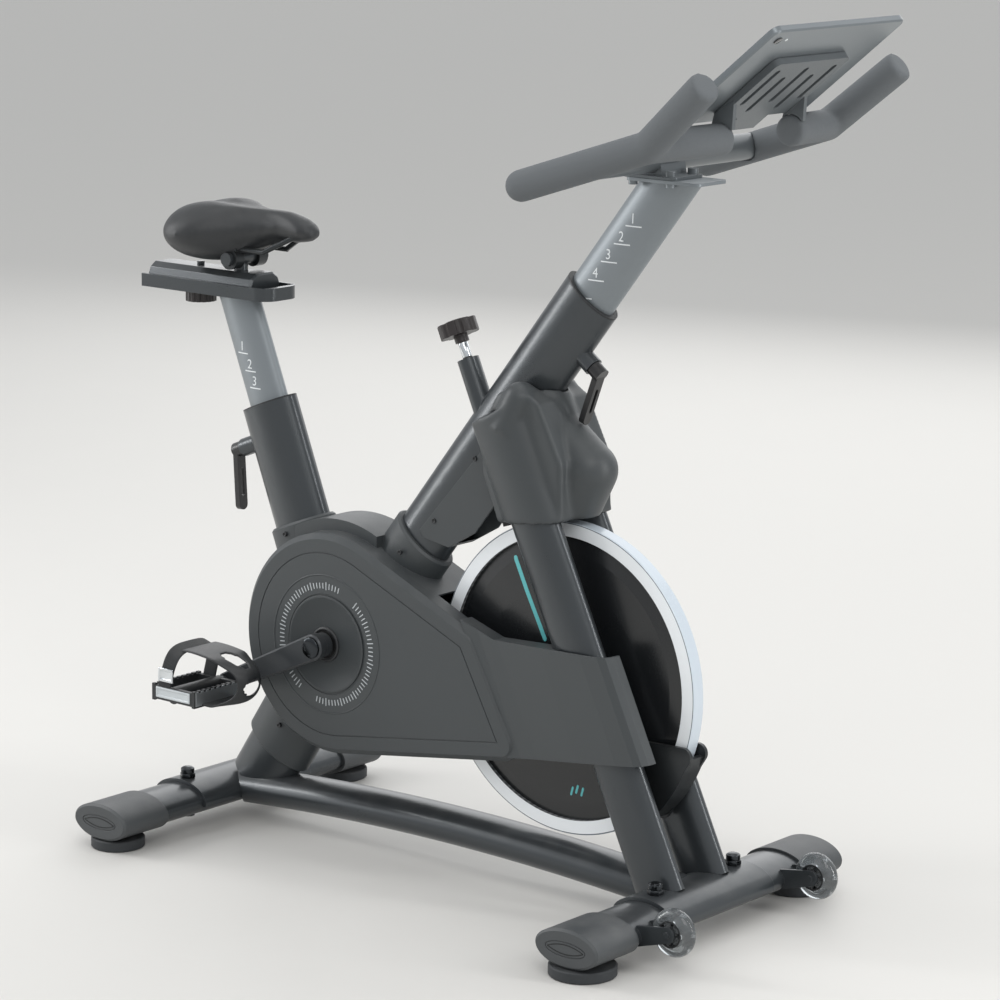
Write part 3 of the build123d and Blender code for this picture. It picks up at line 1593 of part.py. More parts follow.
def clamp_lever(point_at, distance, post_half_width, boss_out, rise, bar_length):
    """Clamp handle: screw, hub and a slotted bar that leans away from the tube."""
    start = point_at(distance, post_half_width + slide_clearance)
    hub_start = point_at(distance, boss_out + slide_clearance)
    hub_end = point_at(distance, boss_out + slide_clearance + 16.0)
    normal = (Vector(*hub_end) - Vector(*hub_start)).normalized()
    down = Vector(-cos(radians(rise)), 0, -sin(radians(rise)))
    bar_dir = down * cos(radians(lever_lean)) + normal * sin(radians(lever_lean))
    bar_face = normal * cos(radians(lever_lean)) - down * sin(radians(lever_lean))
    with BuildPart() as lever:
        add(segment(start, hub_start, clamp_screw_radius))
        add(segment(hub_start, hub_end, 10.0))
        bar_plane = Plane(
            origin=point_at(distance, boss_out + slide_clearance + 7.0),
            x_dir=(bar_dir.X, bar_dir.Y, bar_dir.Z),
            z_dir=(bar_face.X, bar_face.Y, bar_face.Z),
        )
        with BuildSketch(bar_plane):
            with Locations((bar_length / 2, 0)):
                SlotCenterToCenter(bar_length, 15.0)
            with Locations((bar_length * 0.6, 0)):
                SlotCenterToCenter(bar_length * 0.45, 5.0, mode=Mode.SUBTRACT)
        extrude(amount=8.0)
    return lever.part


with BuildPart() as seat_lever:
    add(clamp_lever(
        seat_normal_point,
        seat_tube_length - seat_boss_drop,
        seat_post_width / 2,
        seat_boss_out,
        seat_rise,
        74.0,
    ))
save(seat_lever, "seat_lever")

with BuildPart() as bar_lever:
    add(clamp_lever(
        main_normal_point,
        lever_boss_distance,
        bar_post_width / 2,
        lever_boss_out,
        main_rise,
        62.0,
    ))
save(bar_lever, "bar_lever")

# ================================================================ handlebar group
with BuildPart() as head_guide:
    add(oval_bar(
        *along(bottom_bracket_x, bottom_bracket_z, main_rise, main_length - head_guide_length),
        main_rise,
        head_guide_length,
        main_width - 2 * tube_wall,
        main_thickness - 2 * tube_wall,
    ))
    add(oval_bar(
        *along(bottom_bracket_x, bottom_bracket_z, main_rise, main_length),
        main_rise,
        guide_lip,
        main_width,
        main_thickness,
    ))
    add(
        oval_bar(
            *along(bottom_bracket_x, bottom_bracket_z, main_rise, main_length - head_guide_length - 1.0),
            main_rise,
            head_guide_length + 10.0,
            bar_post_width + 2 * slide_clearance,
            bar_post_thickness + 2 * slide_clearance,
        ),
        mode=Mode.SUBTRACT,
    )
    add(
        segment(
            main_normal_point(lever_boss_distance, 10.0),
            main_normal_point(lever_boss_distance, lever_boss_out),
            clamp_screw_radius + 0.1,
        ),
        mode=Mode.SUBTRACT,
    )
save(head_guide, "head_guide")

bar_post_start = main_length - bar_post_insertion
flange_bolt_x = (265.0, 320.0)
flange_bolt_y = 22.0
with BuildPart() as bar_post:
    add(oval_bar(
        *along(bottom_bracket_x, bottom_bracket_z, main_rise, bar_post_start),
        main_rise,
        bar_post_top - bar_post_start + 40.0,
        bar_post_width,
        bar_post_thickness,
    ))
    add(
        oval_bar(
            *along(bottom_bracket_x, bottom_bracket_z, main_rise, bar_post_start),
            main_rise,
            bar_post_top - bar_post_start - 34.0,
            bar_post_width - 2 * post_wall,
            bar_post_thickness - 2 * post_wall,
        ),
        mode=Mode.SUBTRACT,
    )
    with Locations((300, 0, flange_z)):
        Box(400, 100, 100, align=(Align.CENTER, Align.CENTER, Align.MIN), mode=Mode.SUBTRACT)
    with BuildSketch(Plane.XY.offset(flange_z)):
        with Locations((312.0, 0)):
            RectangleRounded(108.0, 62.0, 9.0)
    extrude(amount=flange_thickness)
    for bolt_x in flange_bolt_x:
        for side in (-1, 1):
            with Locations((bolt_x, side * flange_bolt_y, flange_z - 5.0)):
                Cylinder(5.5, 5.0, align=(Align.CENTER, Align.CENTER, Align.MIN))
save(bar_post, "bar_post")

bracket_z = flange_z + flange_thickness
with BuildPart() as handlebar_frame:
    with BuildSketch(Plane.XY.offset(bracket_z)):
        with Locations(((flange_bolt_x[0] + flange_bolt_x[1]) / 2, 0)):
            RectangleRounded(78.0, 60.0, 7.0)
    extrude(amount=4.0)
    with BuildSketch(side_plane(24.0)):
        with BuildLine():
            Polyline(
                (cross_tube_x - 18.0, bracket_z),
                (cross_tube_x + 18.0, bracket_z),
                (cross_tube_x + 14.0, cross_tube_z),
                (cross_tube_x - 14.0, cross_tube_z),
                close=True,
            )
        make_face()
    extrude(amount=48.0)
    add(cross_cylinder(cross_tube_x, cross_tube_z, cross_tube_radius, -178.0, 178.0))
    for bolt_x in flange_bolt_x:
        for side in (-1, 1):
            with Locations((bolt_x, side * flange_bolt_y, bracket_z)):
                Cylinder(6.5, 11.0, align=(Align.CENTER, Align.CENTER, Align.MIN))
    for side in (-1, 1):
        grip = (grip_end[0], side * grip_end[1], grip_end[2])
        bend = (bar_bend[0], side * bar_bend[1], bar_bend[2])
        horn = (horn_tip[0], side * horn_tip[1], horn_tip[2])
        stub = (stub_end[0], side * stub_end[1], stub_end[2])
        for start, stop in ((grip, bend), (bend, horn), (bend, stub)):
            reach = (Vector(*stop) - Vector(*start)).normalized() * 8.0
            short_stop = Vector(*stop) - reach
            add(segment(start, (short_stop.X, short_stop.Y, short_stop.Z), bar_tube_radius))
        with Locations(bend):
            Sphere(bar_tube_radius)
save(handlebar_frame, "handlebar_frame")

for name, side in (("near", -1), ("far", 1)):
    grip = (grip_end[0], side * grip_end[1], grip_end[2])
    bend = (bar_bend[0], side * bar_bend[1], bar_bend[2])
    horn = (horn_tip[0], side * horn_tip[1], horn_tip[2])
    stub = (stub_end[0], side * stub_end[1], stub_end[2])
    with BuildPart() as foam:
        add(segment(grip, bend, foam_radius))
        with Locations(grip):
            Sphere(foam_radius)
        with Locations(bend):
            Sphere(foam_radius)
        add(segment(bend, horn, foam_radius))
        add(segment(bend, stub, foam_radius))
        add(handlebar_frame.part, mode=Mode.SUBTRACT)
        foam_ends = foam.edges().filter_by(GeomType.CIRCLE).filter_by(
            lambda edge: abs(edge.radius - foam_radius) < 0.01
        )
        end_rims = [
            edge
            for edge in foam_ends
            if min(
                (edge.arc_center - Vector(*horn)).length,
                (edge.arc_center - Vector(*stub)).length,
            ) < 1.0
        ]
        fillet(end_rims, radius=5.0)
    save(foam, f"foam_{name}")

holder_dir = (cos(radians(holder_tilt)), 0.0, sin(radians(holder_tilt)))
holder_normal = (-sin(radians(holder_tilt)), 0.0, cos(radians(holder_tilt)))


def panel_point(drop, lift):
    """Point on the tablet panel: drop below its top edge, lift above its back."""
    return (
        tablet_top_x - drop * holder_dir[0] + lift * holder_normal[0],
        0.0,
        tablet_top_z - drop * holder_dir[2] + lift * holder_normal[2],
    )


def panel_plane(drop, lift):
    """Plane parallel to the tablet, local x = -Y and local y down the slope."""
    return Plane(origin=panel_point(drop, lift), x_dir=(0, 1, 0), z_dir=holder_normal)


with BuildPart() as tablet:
    with BuildSketch(panel_plane(tablet_height / 2, 0.0)):
        RectangleRounded(tablet_width, tablet_height, 10.0)
    extrude(amount=tablet_thickness)
    chamfer(tablet.faces().sort_by(Axis((0, 0, 0), holder_normal))[0].edges(), length=1.8)
save(tablet, "tablet")

lip_gap = 0.4
with BuildPart() as tablet_holder:
    with BuildSketch(panel_plane(holder_drop + holder_height / 2, -lip_gap - holder_thickness)):
        RectangleRounded(holder_width, holder_height, 8.0)
        for index, across in enumerate((-56.0, -28.0, 0.0, 28.0, 56.0)):
            with Locations((across, 8.0 if index % 2 else -8.0)):
                SlotOverall(68.0, 8.5, rotation=90, mode=Mode.SUBTRACT)
    extrude(amount=holder_thickness)
    with BuildSketch(panel_plane(holder_drop + holder_height + 11.0, -lip_gap - holder_thickness)):
        Rectangle(60.0, 30.0)
    extrude(amount=4.0)
    with BuildSketch(panel_plane(tablet_height + lip_gap + 2.0, -lip_gap - holder_thickness)):
        Rectangle(60.0, 4.0)
    extrude(amount=holder_thickness + tablet_thickness + 4.0)
    for side in (-1, 1):
        with BuildSketch(side_plane(side * 70.0 + 3.0)):
            with BuildLine():
                Polyline(
                    (stub_end[0] - 14.0, stub_end[2] + 12.0),
                    (stub_end[0] + 16.0, stub_end[2] + 12.0),
                    (panel_point(holder_drop + 70.0, 0)[0], panel_point(holder_drop + 70.0, -9.0)[2]),
                    (panel_point(holder_drop + 105.0, 0)[0], panel_point(holder_drop + 105.0, -2.0)[2]),
                    close=True,
                )
            make_face()
        extrude(amount=6.0)
    for side in (-1, 1):
        bend = (bar_bend[0], side * bar_bend[1], bar_bend[2])
        stub = (stub_end[0], side * stub_end[1], stub_end[2])
        add(segment(bend, stub, foam_radius), mode=Mode.SUBTRACT)
    with BuildPart(mode=Mode.PRIVATE) as tablet_space:
        with BuildSketch(panel_plane(tablet_height / 2 + 0.2, -lip_gap)):
            Rectangle(tablet_width + 2.0, tablet_height + 0.4)
        extrude(amount=tablet_thickness + 2 * lip_gap)
    add(tablet_space.part, mode=Mode.SUBTRACT)
save(tablet_holder, "tablet_holder")
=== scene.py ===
"""Indoor exercise bike: finishes, soft parts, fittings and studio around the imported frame.

Metres, +Z up, +X towards the handlebar, drive side on -Y, origin on the floor.
"""
import json
import logging
import math
from contextlib import contextmanager
from dataclasses import dataclass, field, replace
from enum import Enum
from typing import Callable, Iterator, Sequence

import bmesh
import bpy
from mathutils import Matrix, Vector


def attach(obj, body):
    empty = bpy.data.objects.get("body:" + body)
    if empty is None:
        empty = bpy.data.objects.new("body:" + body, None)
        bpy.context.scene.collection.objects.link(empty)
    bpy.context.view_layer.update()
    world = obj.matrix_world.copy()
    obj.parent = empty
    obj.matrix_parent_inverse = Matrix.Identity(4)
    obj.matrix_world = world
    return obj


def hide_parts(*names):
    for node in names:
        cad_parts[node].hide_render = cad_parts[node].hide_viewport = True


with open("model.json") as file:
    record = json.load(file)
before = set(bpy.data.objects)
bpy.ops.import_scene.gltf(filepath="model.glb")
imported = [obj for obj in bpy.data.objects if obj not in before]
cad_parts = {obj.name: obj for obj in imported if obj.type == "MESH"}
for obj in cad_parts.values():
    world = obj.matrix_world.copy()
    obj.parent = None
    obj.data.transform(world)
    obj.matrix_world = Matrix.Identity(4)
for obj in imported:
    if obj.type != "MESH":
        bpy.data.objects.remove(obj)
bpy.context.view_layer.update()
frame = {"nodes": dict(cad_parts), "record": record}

LOG = logging.getLogger("exercise_bike")
Triple = tuple[float, float, float]


def paint(code: str) -> Triple:
    """Turns a six-digit colour into the linear colour that shaders use.

    Args:
        code: The colour as red, green and blue pairs, such as "6a6d6f".

    Returns:
        Linear red, green and blue.
    """
    parts = [int(code[i:i + 2], 16) / 255 for i in (0, 2, 4)]
    return tuple(p / 12.92 if p <= 0.04045 else ((p + 0.055) / 1.055) ** 2.4 for p in parts)


# ------------------------------------------------------------------ shader tools
def wire(tree: bpy.types.NodeTree, kind: str, props: dict | None = None,
         **inputs: object) -> bpy.types.Node:
    """Adds one shader node, sets its properties and fills or links its inputs.

    Args:
        tree: The node tree that gets the node.
        kind: The node's type name.
        props: Node properties to set first.
        inputs: Input values or sockets, named as the input with "_" for a space, or "iN".

    Returns:
        The new node.
    """
    node = tree.nodes.new(kind)
    for key, value in (props or {}).items():
        setattr(node, key, value)
    for key, value in inputs.items():
        place = int(key[1:]) if key[0] == "i" and key[1:].isdigit() else key.replace("_", " ")
        if isinstance(value, bpy.types.NodeSocket):
            tree.links.new(value, node.inputs[place])
        else:
            node.inputs[place].default_value = value
    return node


def blend_colour(tree: bpy.types.NodeTree, mask: object, low: object, high: object) -> bpy.types.NodeSocket:
    """Mixes two colours by a mask.

    Args:
        tree: The node tree.
        mask: Socket or number, 0 for the first colour and 1 for the second.
        low: First colour, a socket or a linear colour.
        high: Second colour, a socket or a linear colour.

    Returns:
        The mixed colour's socket.
    """
    node = wire(tree, "ShaderNodeMix", {"data_type": "RGBA"}, i0=mask)
    for place, value in ((6, low), (7, high)):
        if isinstance(value, bpy.types.NodeSocket):
            tree.links.new(value, node.inputs[place])
        else:
            node.inputs[place].default_value = (*value, 1.0)
    return node.outputs[2]


def maths(tree: bpy.types.NodeTree, operation: str, first: object, second: object = 0.0,
          clamp: bool = False) -> bpy.types.NodeSocket:
    """One step of arithmetic in a node tree."""
    return wire(tree, "ShaderNodeMath", {"operation": operation, "use_clamp": clamp},
                i0=first, i1=second).outputs[0]


def remap(tree: bpy.types.NodeTree, value: object, low: float, high: float,
          to_low: float = 0.0, to_high: float = 1.0) -> bpy.types.NodeSocket:
    """Stretches one range of values onto another, held at its ends."""
    return wire(tree, "ShaderNodeMapRange", {"clamp": True}, i0=value, i1=low, i2=high,
                i3=to_low, i4=to_high).outputs[0]


class Grain(Enum):
    """The fine relief that a surface carries."""

    PEEL = "powder coat peel"
    SPARK = "spark eroded moulding grain"
    HIDE = "pebbled vinyl"
    CELLS = "foam cells"
    WEAVE = "narrow weave"
    BRUSHED = "brushed metal"


class EffectShelf:
    """The shader groups that several finishes share, each one built once."""

    def __init__(self) -> None:
        """Starts with an empty shelf."""
        self.groups: dict[str, bpy.types.NodeTree] = {}

    def start(self, name: str, inputs: dict[str, object], outputs: dict[str, str]) -> bpy.types.NodeTree:
        """Opens a new group with named inputs and outputs.

        Args:
            name: The group's name.
            inputs: Input names with their defaults; a tuple makes a colour.
            outputs: Output names with "Color", "Float" or "Vector".

        Returns:
            The group's node tree.
        """
        tree = bpy.data.node_groups.new(name, "ShaderNodeTree")
        for label, value in inputs.items():
            kind = "NodeSocketColor" if isinstance(value, tuple) else "NodeSocketFloat"
            socket = tree.interface.new_socket(name=label, in_out="INPUT", socket_type=kind)
            socket.default_value = (*value, 1.0) if isinstance(value, tuple) else value
        for label, kind in outputs.items():
            tree.interface.new_socket(name=label, in_out="OUTPUT", socket_type="NodeSocket" + kind)
        self.groups[name] = tree
        return tree

    def grain(self, kind: Grain) -> bpy.types.NodeTree:
        """The relief group of one grain: a height and a fleck value from 0 to 1."""
        name = "grain_" + kind.name.lower()
        if name in self.groups:
            return self.groups[name]
        tree = self.start(name, {"Scale": 900.0}, {"Height": "Float", "Fleck": "Float"})
        ends = wire(tree, "NodeGroupInput")
        place = wire(tree, "ShaderNodeTexCoord").outputs["Object"]
        scale = ends.outputs["Scale"]
        cloud = wire(tree, "ShaderNodeTexNoise", Vector=place, Scale=7.0, Detail=4.0, Roughness=0.6)
        if kind is Grain.PEEL:
            height = wire(tree, "ShaderNodeTexNoise", Vector=place, Scale=scale, Detail=2.0).outputs[0]
        elif kind is Grain.SPARK:
            fine = wire(tree, "ShaderNodeTexNoise", Vector=place, Scale=scale, Detail=5.0, Roughness=0.7)
            height = remap(tree, fine.outputs[0], 0.32, 0.68)
        elif kind is Grain.HIDE:
            pebble = wire(tree, "ShaderNodeTexVoronoi", {"feature": "SMOOTH_F1"}, Vector=place,
                          Scale=scale, Smoothness=0.4)
            fine = wire(tree, "ShaderNodeTexNoise", Vector=place, Scale=maths(tree, "MULTIPLY", scale, 3.0))
            height = maths(tree, "SUBTRACT", maths(tree, "MULTIPLY", fine.outputs[0], 0.25),
                           pebble.outputs["Distance"])
        elif kind is Grain.CELLS:
            cells = wire(tree, "ShaderNodeTexVoronoi", Vector=place, Scale=scale, Randomness=1.0)
            height = maths(tree, "POWER", cells.outputs["Distance"], 1.6)
        elif kind is Grain.WEAVE:
            across = wire(tree, "ShaderNodeTexWave", {"bands_direction": "X", "wave_profile": "SIN"},
                          Vector=place, Scale=scale, Distortion=0.4)
            along = wire(tree, "ShaderNodeTexWave", {"bands_direction": "Y", "wave_profile": "SIN"},
                         Vector=place, Scale=scale, Distortion=0.4)
            height = maths(tree, "MAXIMUM", across.outputs["Fac"], along.outputs["Fac"])
        else:
            stretched = wire(tree, "ShaderNodeMapping", Vector=place, Scale=(1.0, 14.0, 1.0))
            height = wire(tree, "ShaderNodeTexNoise", Vector=stretched.outputs[0], Scale=scale,
                          Detail=3.0).outputs[0]
        fleck = maths(tree, "ADD", maths(tree, "MULTIPLY", cloud.outputs[0], 0.6),
                      maths(tree, "MULTIPLY", height, 0.4), clamp=True)
        wire(tree, "NodeGroupOutput", Height=height, Fleck=fleck)
        return tree

    def edge_wear_and_highlight(self) -> bpy.types.NodeTree:
        """Rounds the shading of hard edges and lightens their colour in noisy patches, partly rubbed-through paint
        and partly a painted edge highlight.
        """
        if "edge_wear_and_highlight" in self.groups:
            return self.groups["edge_wear_and_highlight"]
        tree = self.start("edge_wear_and_highlight", {"Color": (0.2, 0.2, 0.2), "Worn Color": (0.5, 0.5, 0.5),
                                        "Radius": 0.001, "Amount": 0.3},
                          {"Color": "Color", "Mask": "Float", "Normal": "Vector"})
        ends = wire(tree, "NodeGroupInput")
        rounded = wire(tree, "ShaderNodeBevel", {"samples": 4}, Radius=ends.outputs["Radius"])
        flat = wire(tree, "ShaderNodeNewGeometry").outputs["Normal"]
        dot = wire(tree, "ShaderNodeVectorMath", {"operation": "DOT_PRODUCT"}, i0=rounded.outputs[0],
                   i1=flat).outputs["Value"]
        place = wire(tree, "ShaderNodeTexCoord").outputs["Object"]
        patchy = wire(tree, "ShaderNodeTexNoise", Vector=place, Scale=45.0, Detail=5.0)
        # Hard edges, where the rounded normal turns from the flat one, get the lighter colour: rubbed paint and a
        # painted edge highlight.
        turn = remap(tree, dot, 0.97, 0.75)
        chips = remap(tree, patchy.outputs[0], 0.35, 0.7)
        mask = maths(tree, "MULTIPLY", maths(tree, "MULTIPLY", turn, chips), ends.outputs["Amount"],
                     clamp=True)
        colour = blend_colour(tree, mask, ends.outputs["Color"], ends.outputs["Worn Color"])
        wire(tree, "NodeGroupOutput", Color=colour, Mask=mask, Normal=rounded.outputs[0])
        return tree

    def dust(self) -> bpy.types.NodeTree:
        """Lays a thin patchy film on what faces up."""
        if "dust" in self.groups:
            return self.groups["dust"]
        tree = self.start("dust", {"Color": (0.2, 0.2, 0.2), "Dust Color": (0.55, 0.54, 0.52), "Amount": 0.2},
                          {"Color": "Color", "Mask": "Float"})
        ends = wire(tree, "NodeGroupInput")
        normal = wire(tree, "ShaderNodeNewGeometry").outputs["Normal"]
        up = wire(tree, "ShaderNodeSeparateXYZ", Vector=normal).outputs["Z"]
        place = wire(tree, "ShaderNodeTexCoord").outputs["Object"]
        patchy = wire(tree, "ShaderNodeTexNoise", Vector=place, Scale=22.0, Detail=6.0)
        mask = maths(tree, "MULTIPLY", remap(tree, up, 0.35, 1.0),
                     maths(tree, "MULTIPLY", remap(tree, patchy.outputs[0], 0.3, 0.8), ends.outputs["Amount"]),
                     clamp=True)
        wire(tree, "NodeGroupOutput", Mask=mask,
             Color=blend_colour(tree, mask, ends.outputs["Color"], ends.outputs["Dust Color"]))
        return tree


SHELF = EffectShelf()


MIXED: dict[str, bpy.types.Material] = {}


# ------------------------------------------------------------------ finishes
@dataclass(frozen=True)
class Finish:
    """One surface finish, from its colour to its fine relief."""

    name: str
    slot: str
    colour: Triple
    roughness: float
    metallic: float = 0.0
    coat: float = 0.0
    grain: Grain = Grain.PEEL
    scale: float = 900.0
    relief: float = 0.12
    spread: float = 0.10
    # Strength of the lighter edges: rubbed paint and a painted edge highlight.
    wear_and_highlight: float = 0.25
    edge: float = 0.0009
    dust: float = 0.12

    def colour_chain(self, tree: bpy.types.NodeTree, fleck: bpy.types.NodeSocket) -> bpy.types.NodeSocket:
        """The base colour before the lighter edges (rubbed paint and a painted edge highlight) and the dust.

        Args:
            tree: The material's node tree.
            fleck: Value from 0 to 1 that varies over the surface.

        Returns:
            The colour's socket.
        """
        dark = tuple(c * (1 - self.spread) for c in self.colour)
        light = tuple(min(1.0, c * (1 + self.spread)) for c in self.colour)
        return blend_colour(tree, fleck, dark, light)

    def extras(self, shader: bpy.types.Node) -> None:
        """Sets what only some finishes have on the shader's own sockets."""

    def build(self) -> bpy.types.Material:
        """Makes the material once and returns it each time after that."""
        if self.name in MIXED:
            return MIXED[self.name]
        material = MIXED[self.name] = bpy.data.materials.new("bike_" + self.name)
        material.use_nodes = True
        material.diffuse_color = (*self.colour, 1.0)
        tree = material.node_tree
        tree.nodes.clear()
        grain = wire(tree, "ShaderNodeGroup", {"node_tree": SHELF.grain(self.grain)}, Scale=self.scale)
        colour = self.colour_chain(tree, grain.outputs["Fleck"])
        # Lighter edge colour, partly rubbed paint and partly a painted edge highlight.
        worn_and_highlight = tuple(min(1.0, c * 1.7 + 0.05) for c in self.colour)
        edge = wire(tree, "ShaderNodeGroup", {"node_tree": SHELF.edge_wear_and_highlight()}, Color=colour,
                    Worn_Color=(*worn_and_highlight, 1.0), Radius=self.edge, Amount=self.wear_and_highlight)
        film = wire(tree, "ShaderNodeGroup", {"node_tree": SHELF.dust()}, Color=edge.outputs["Color"],
                    Amount=self.dust)
        rough = maths(tree, "ADD", remap(tree, grain.outputs["Fleck"], 0.2, 0.8, self.roughness * 0.86,
                                         min(1.0, self.roughness * 1.14)),
                      maths(tree, "MULTIPLY", film.outputs["Mask"], 0.3), clamp=True)
        bump = wire(tree, "ShaderNodeBump", Strength=self.relief, Distance=0.0004,
                    Height=grain.outputs["Height"], Normal=edge.outputs["Normal"])
        shader = wire(tree, "ShaderNodeBsdfPrincipled", Base_Color=film.outputs["Color"], Roughness=rough,
                      Metallic=self.metallic, Coat_Weight=self.coat, Normal=bump.outputs[0])
        shader.inputs["Coat Roughness"].default_value = 0.18
        self.extras(shader)
        wire(tree, "ShaderNodeOutputMaterial", Surface=shader.outputs[0])
        return material


@dataclass(frozen=True)
class FlywheelFinish(Finish):
    """Black painted disc with a bright machined ring and a steel rim."""

    centre: Triple = (0.164, 0.0, 0.2827)
    ring_inner: float = 0.1795
    ring_outer: float = 0.1957
    ring: Triple = field(default_factory=lambda: paint("f4f8fb"))
    rim: Triple = field(default_factory=lambda: paint("ccd6df"))

    def colour_chain(self, tree: bpy.types.NodeTree, fleck: bpy.types.NodeSocket) -> bpy.types.NodeSocket:
        """Paints by distance from the axle: disc, ring, dark line and rim."""
        body = Finish.colour_chain(self, tree, fleck)
        place = wire(tree, "ShaderNodeTexCoord").outputs["Object"]
        moved = wire(tree, "ShaderNodeMapping", Vector=place, Scale=(1.0, 0.0, 1.0),
                     Location=(-self.centre[0], 0.0, -self.centre[2]))
        reach = wire(tree, "ShaderNodeVectorMath", {"operation": "LENGTH"}, i0=moved.outputs[0]).outputs["Value"]
        ring = remap(tree, reach, self.ring_inner - 0.0001, self.ring_inner + 0.0001)
        line = remap(tree, reach, self.ring_outer - 0.0001, self.ring_outer + 0.0001)
        rim = remap(tree, reach, self.ring_outer + 0.0008, self.ring_outer + 0.0010)
        colour = blend_colour(tree, ring, body, self.ring)
        colour = blend_colour(tree, line, colour, paint("5b646b"))
        return blend_colour(tree, rim, colour, self.rim)


@dataclass(frozen=True)
class ClearFinish(Finish):
    """Clear cast plastic or glass."""

    clear: float = 0.9

    def extras(self, shader: bpy.types.Node) -> None:
        """Lets light through."""
        shader.inputs["Transmission Weight"].default_value = self.clear
        shader.inputs["IOR"].default_value = 1.47


class Finishes:
    """Every finish on the bike, by use."""

    frame_paint = Finish("frame_paint", "frame_paint", paint("3f4346"), 0.29, metallic=0.45, coat=0.25,
                         scale=1100, relief=0.10, spread=0.06)
    post_paint = Finish("post_paint", "post_paint", paint("82888c"), 0.36, metallic=0.35, scale=1100,
                        relief=0.10, spread=0.05)
    bar_paint = replace(post_paint, name="bar_paint", colour=paint("62676a"))
    cover_plastic = Finish("cover_plastic", "cover_plastic", paint("3e4244"), 0.44, grain=Grain.SPARK,
                           scale=1500, relief=0.10, spread=0.06)
    cap_plastic = Finish("cap_plastic", "cap_plastic", paint("46494b"), 0.48, grain=Grain.SPARK, scale=1400,
                         relief=0.14)
    black_plastic = Finish("black_plastic", "black_plastic", paint("232527"), 0.42, grain=Grain.SPARK,
                           scale=1400, relief=0.14)
    knob_plastic = Finish("knob_plastic", "knob_plastic", paint("2b2626"), 0.38, grain=Grain.SPARK,
                          scale=1300, relief=0.14)
    holder_plastic = Finish("holder_plastic", "holder_plastic", paint("5c6164"), 0.45, grain=Grain.SPARK,
                            scale=1500, relief=0.10)
    foam = Finish("foam_grip", "foam", paint("63676a"), 0.80, grain=Grain.CELLS, scale=1500, relief=0.35,
                  wear_and_highlight=0.0, spread=0.08, dust=0.08)
    saddle_skin = Finish("saddle_skin", "saddle_skin", paint("2d2f31"), 0.50, grain=Grain.HIDE, scale=1100,
                         relief=0.40, wear_and_highlight=0.0, spread=0.10, dust=0.06)
    foot_rubber = Finish("foot_rubber", "foot_rubber", paint("303336"), 0.62, grain=Grain.SPARK, scale=900,
                         relief=0.2)
    belt_rubber = Finish("belt_rubber", "belt_rubber", paint("1a1b1c"), 0.6, grain=Grain.SPARK, relief=0.2)
    wheel_urethane = ClearFinish("wheel_urethane", "wheel_urethane", paint("d9dfe2"), 0.08, relief=0.02,
                                 wear_and_highlight=0.0, dust=0.05, spread=0.02)
    flywheel_disc = FlywheelFinish("flywheel_disc", "flywheel_disc", paint("1b1d1f"), 0.26, metallic=0.05,
                                   coat=0.3, relief=0.03, wear_and_highlight=0.0, dust=0.03)
    steel = Finish("zinc_steel", "steel", paint("8b9094"), 0.3, metallic=0.95, grain=Grain.BRUSHED,
                   scale=700, relief=0.08)
    dark_chrome = Finish("dark_chrome", "steel", paint("3c3f42"), 0.16, metallic=1.0, relief=0.02)
    dark_steel = Finish("dark_steel", "steel", paint("35383a"), 0.34, metallic=0.6, coat=0.1, relief=0.08)
    lever_plastic = Finish("lever_plastic", "knob_plastic", paint("1f1f20"), 0.30, grain=Grain.SPARK,
                           scale=1300, relief=0.10, coat=0.1)
    reflector = Finish("reflector", "alloy", paint("c9cfd2"), 0.22, coat=0.5, grain=Grain.HIDE, scale=700,
                       relief=0.25, wear_and_highlight=0.0)
    chrome = Finish("bright_chrome", "steel", paint("d5d9dc"), 0.10, metallic=1.0, relief=0.02, wear_and_highlight=0.0)
    alloy = Finish("cast_alloy", "alloy", paint("bfc3c6"), 0.3, metallic=0.85, grain=Grain.SPARK, scale=900,
                   relief=0.12)
    crank_paint = Finish("crank_paint", "crank_paint", paint("3e4144"), 0.36, metallic=0.4, coat=0.1,
                         relief=0.08)
    pad_rubber = Finish("pad_rubber", "pad_rubber", paint("2a2a2a"), 0.8, grain=Grain.CELLS, scale=700,
                        relief=0.4)
    strap_web = Finish("strap_web", "strap_web", paint("242628"), 0.7, grain=Grain.WEAVE, scale=420,
                       relief=0.5, wear_and_highlight=0.0, spread=0.25)
    tablet_shell = Finish("tablet_shell", "tablet_shell", paint("7b8185"), 0.34, metallic=0.5, scale=1600,
                          relief=0.05, spread=0.03)
    screen = Finish("screen_glass", "tablet_shell", paint("0c0e11"), 0.07, coat=0.6, relief=0.0, wear_and_highlight=0.0,
                    spread=0.02, dust=0.04)
    marking = Finish("white_marking", "post_paint", paint("e6eaec"), 0.5, relief=0.05, wear_and_highlight=0.0, spread=0.03)
    teal = Finish("teal_marking", "flywheel_disc", paint("63c1c4"), 0.42, relief=0.05, wear_and_highlight=0.0, spread=0.04)
    hole = Finish("deep_black", "black_plastic", paint("0c0d0e"), 0.7, relief=0.05, wear_and_highlight=0.0, dust=0.03)


BY_SLOT = {
    "frame_paint": Finishes.frame_paint, "post_paint": Finishes.post_paint,
    "cover_plastic": Finishes.cover_plastic, "cap_plastic": Finishes.cap_plastic,
    "black_plastic": Finishes.black_plastic, "knob_plastic": Finishes.knob_plastic,
    "holder_plastic": Finishes.holder_plastic, "foam": Finishes.foam,
    "saddle_skin": Finishes.saddle_skin, "foot_rubber": Finishes.foot_rubber,
    "belt_rubber": Finishes.belt_rubber, "wheel_urethane": Finishes.wheel_urethane,
    "flywheel_disc": Finishes.flywheel_disc, "steel": Finishes.steel, "chrome": Finishes.chrome,
    "alloy": Finishes.alloy, "crank_paint": Finishes.crank_paint, "pad_rubber": Finishes.pad_rubber,
    "strap_web": Finishes.strap_web, "tablet_shell": Finishes.tablet_shell,
}


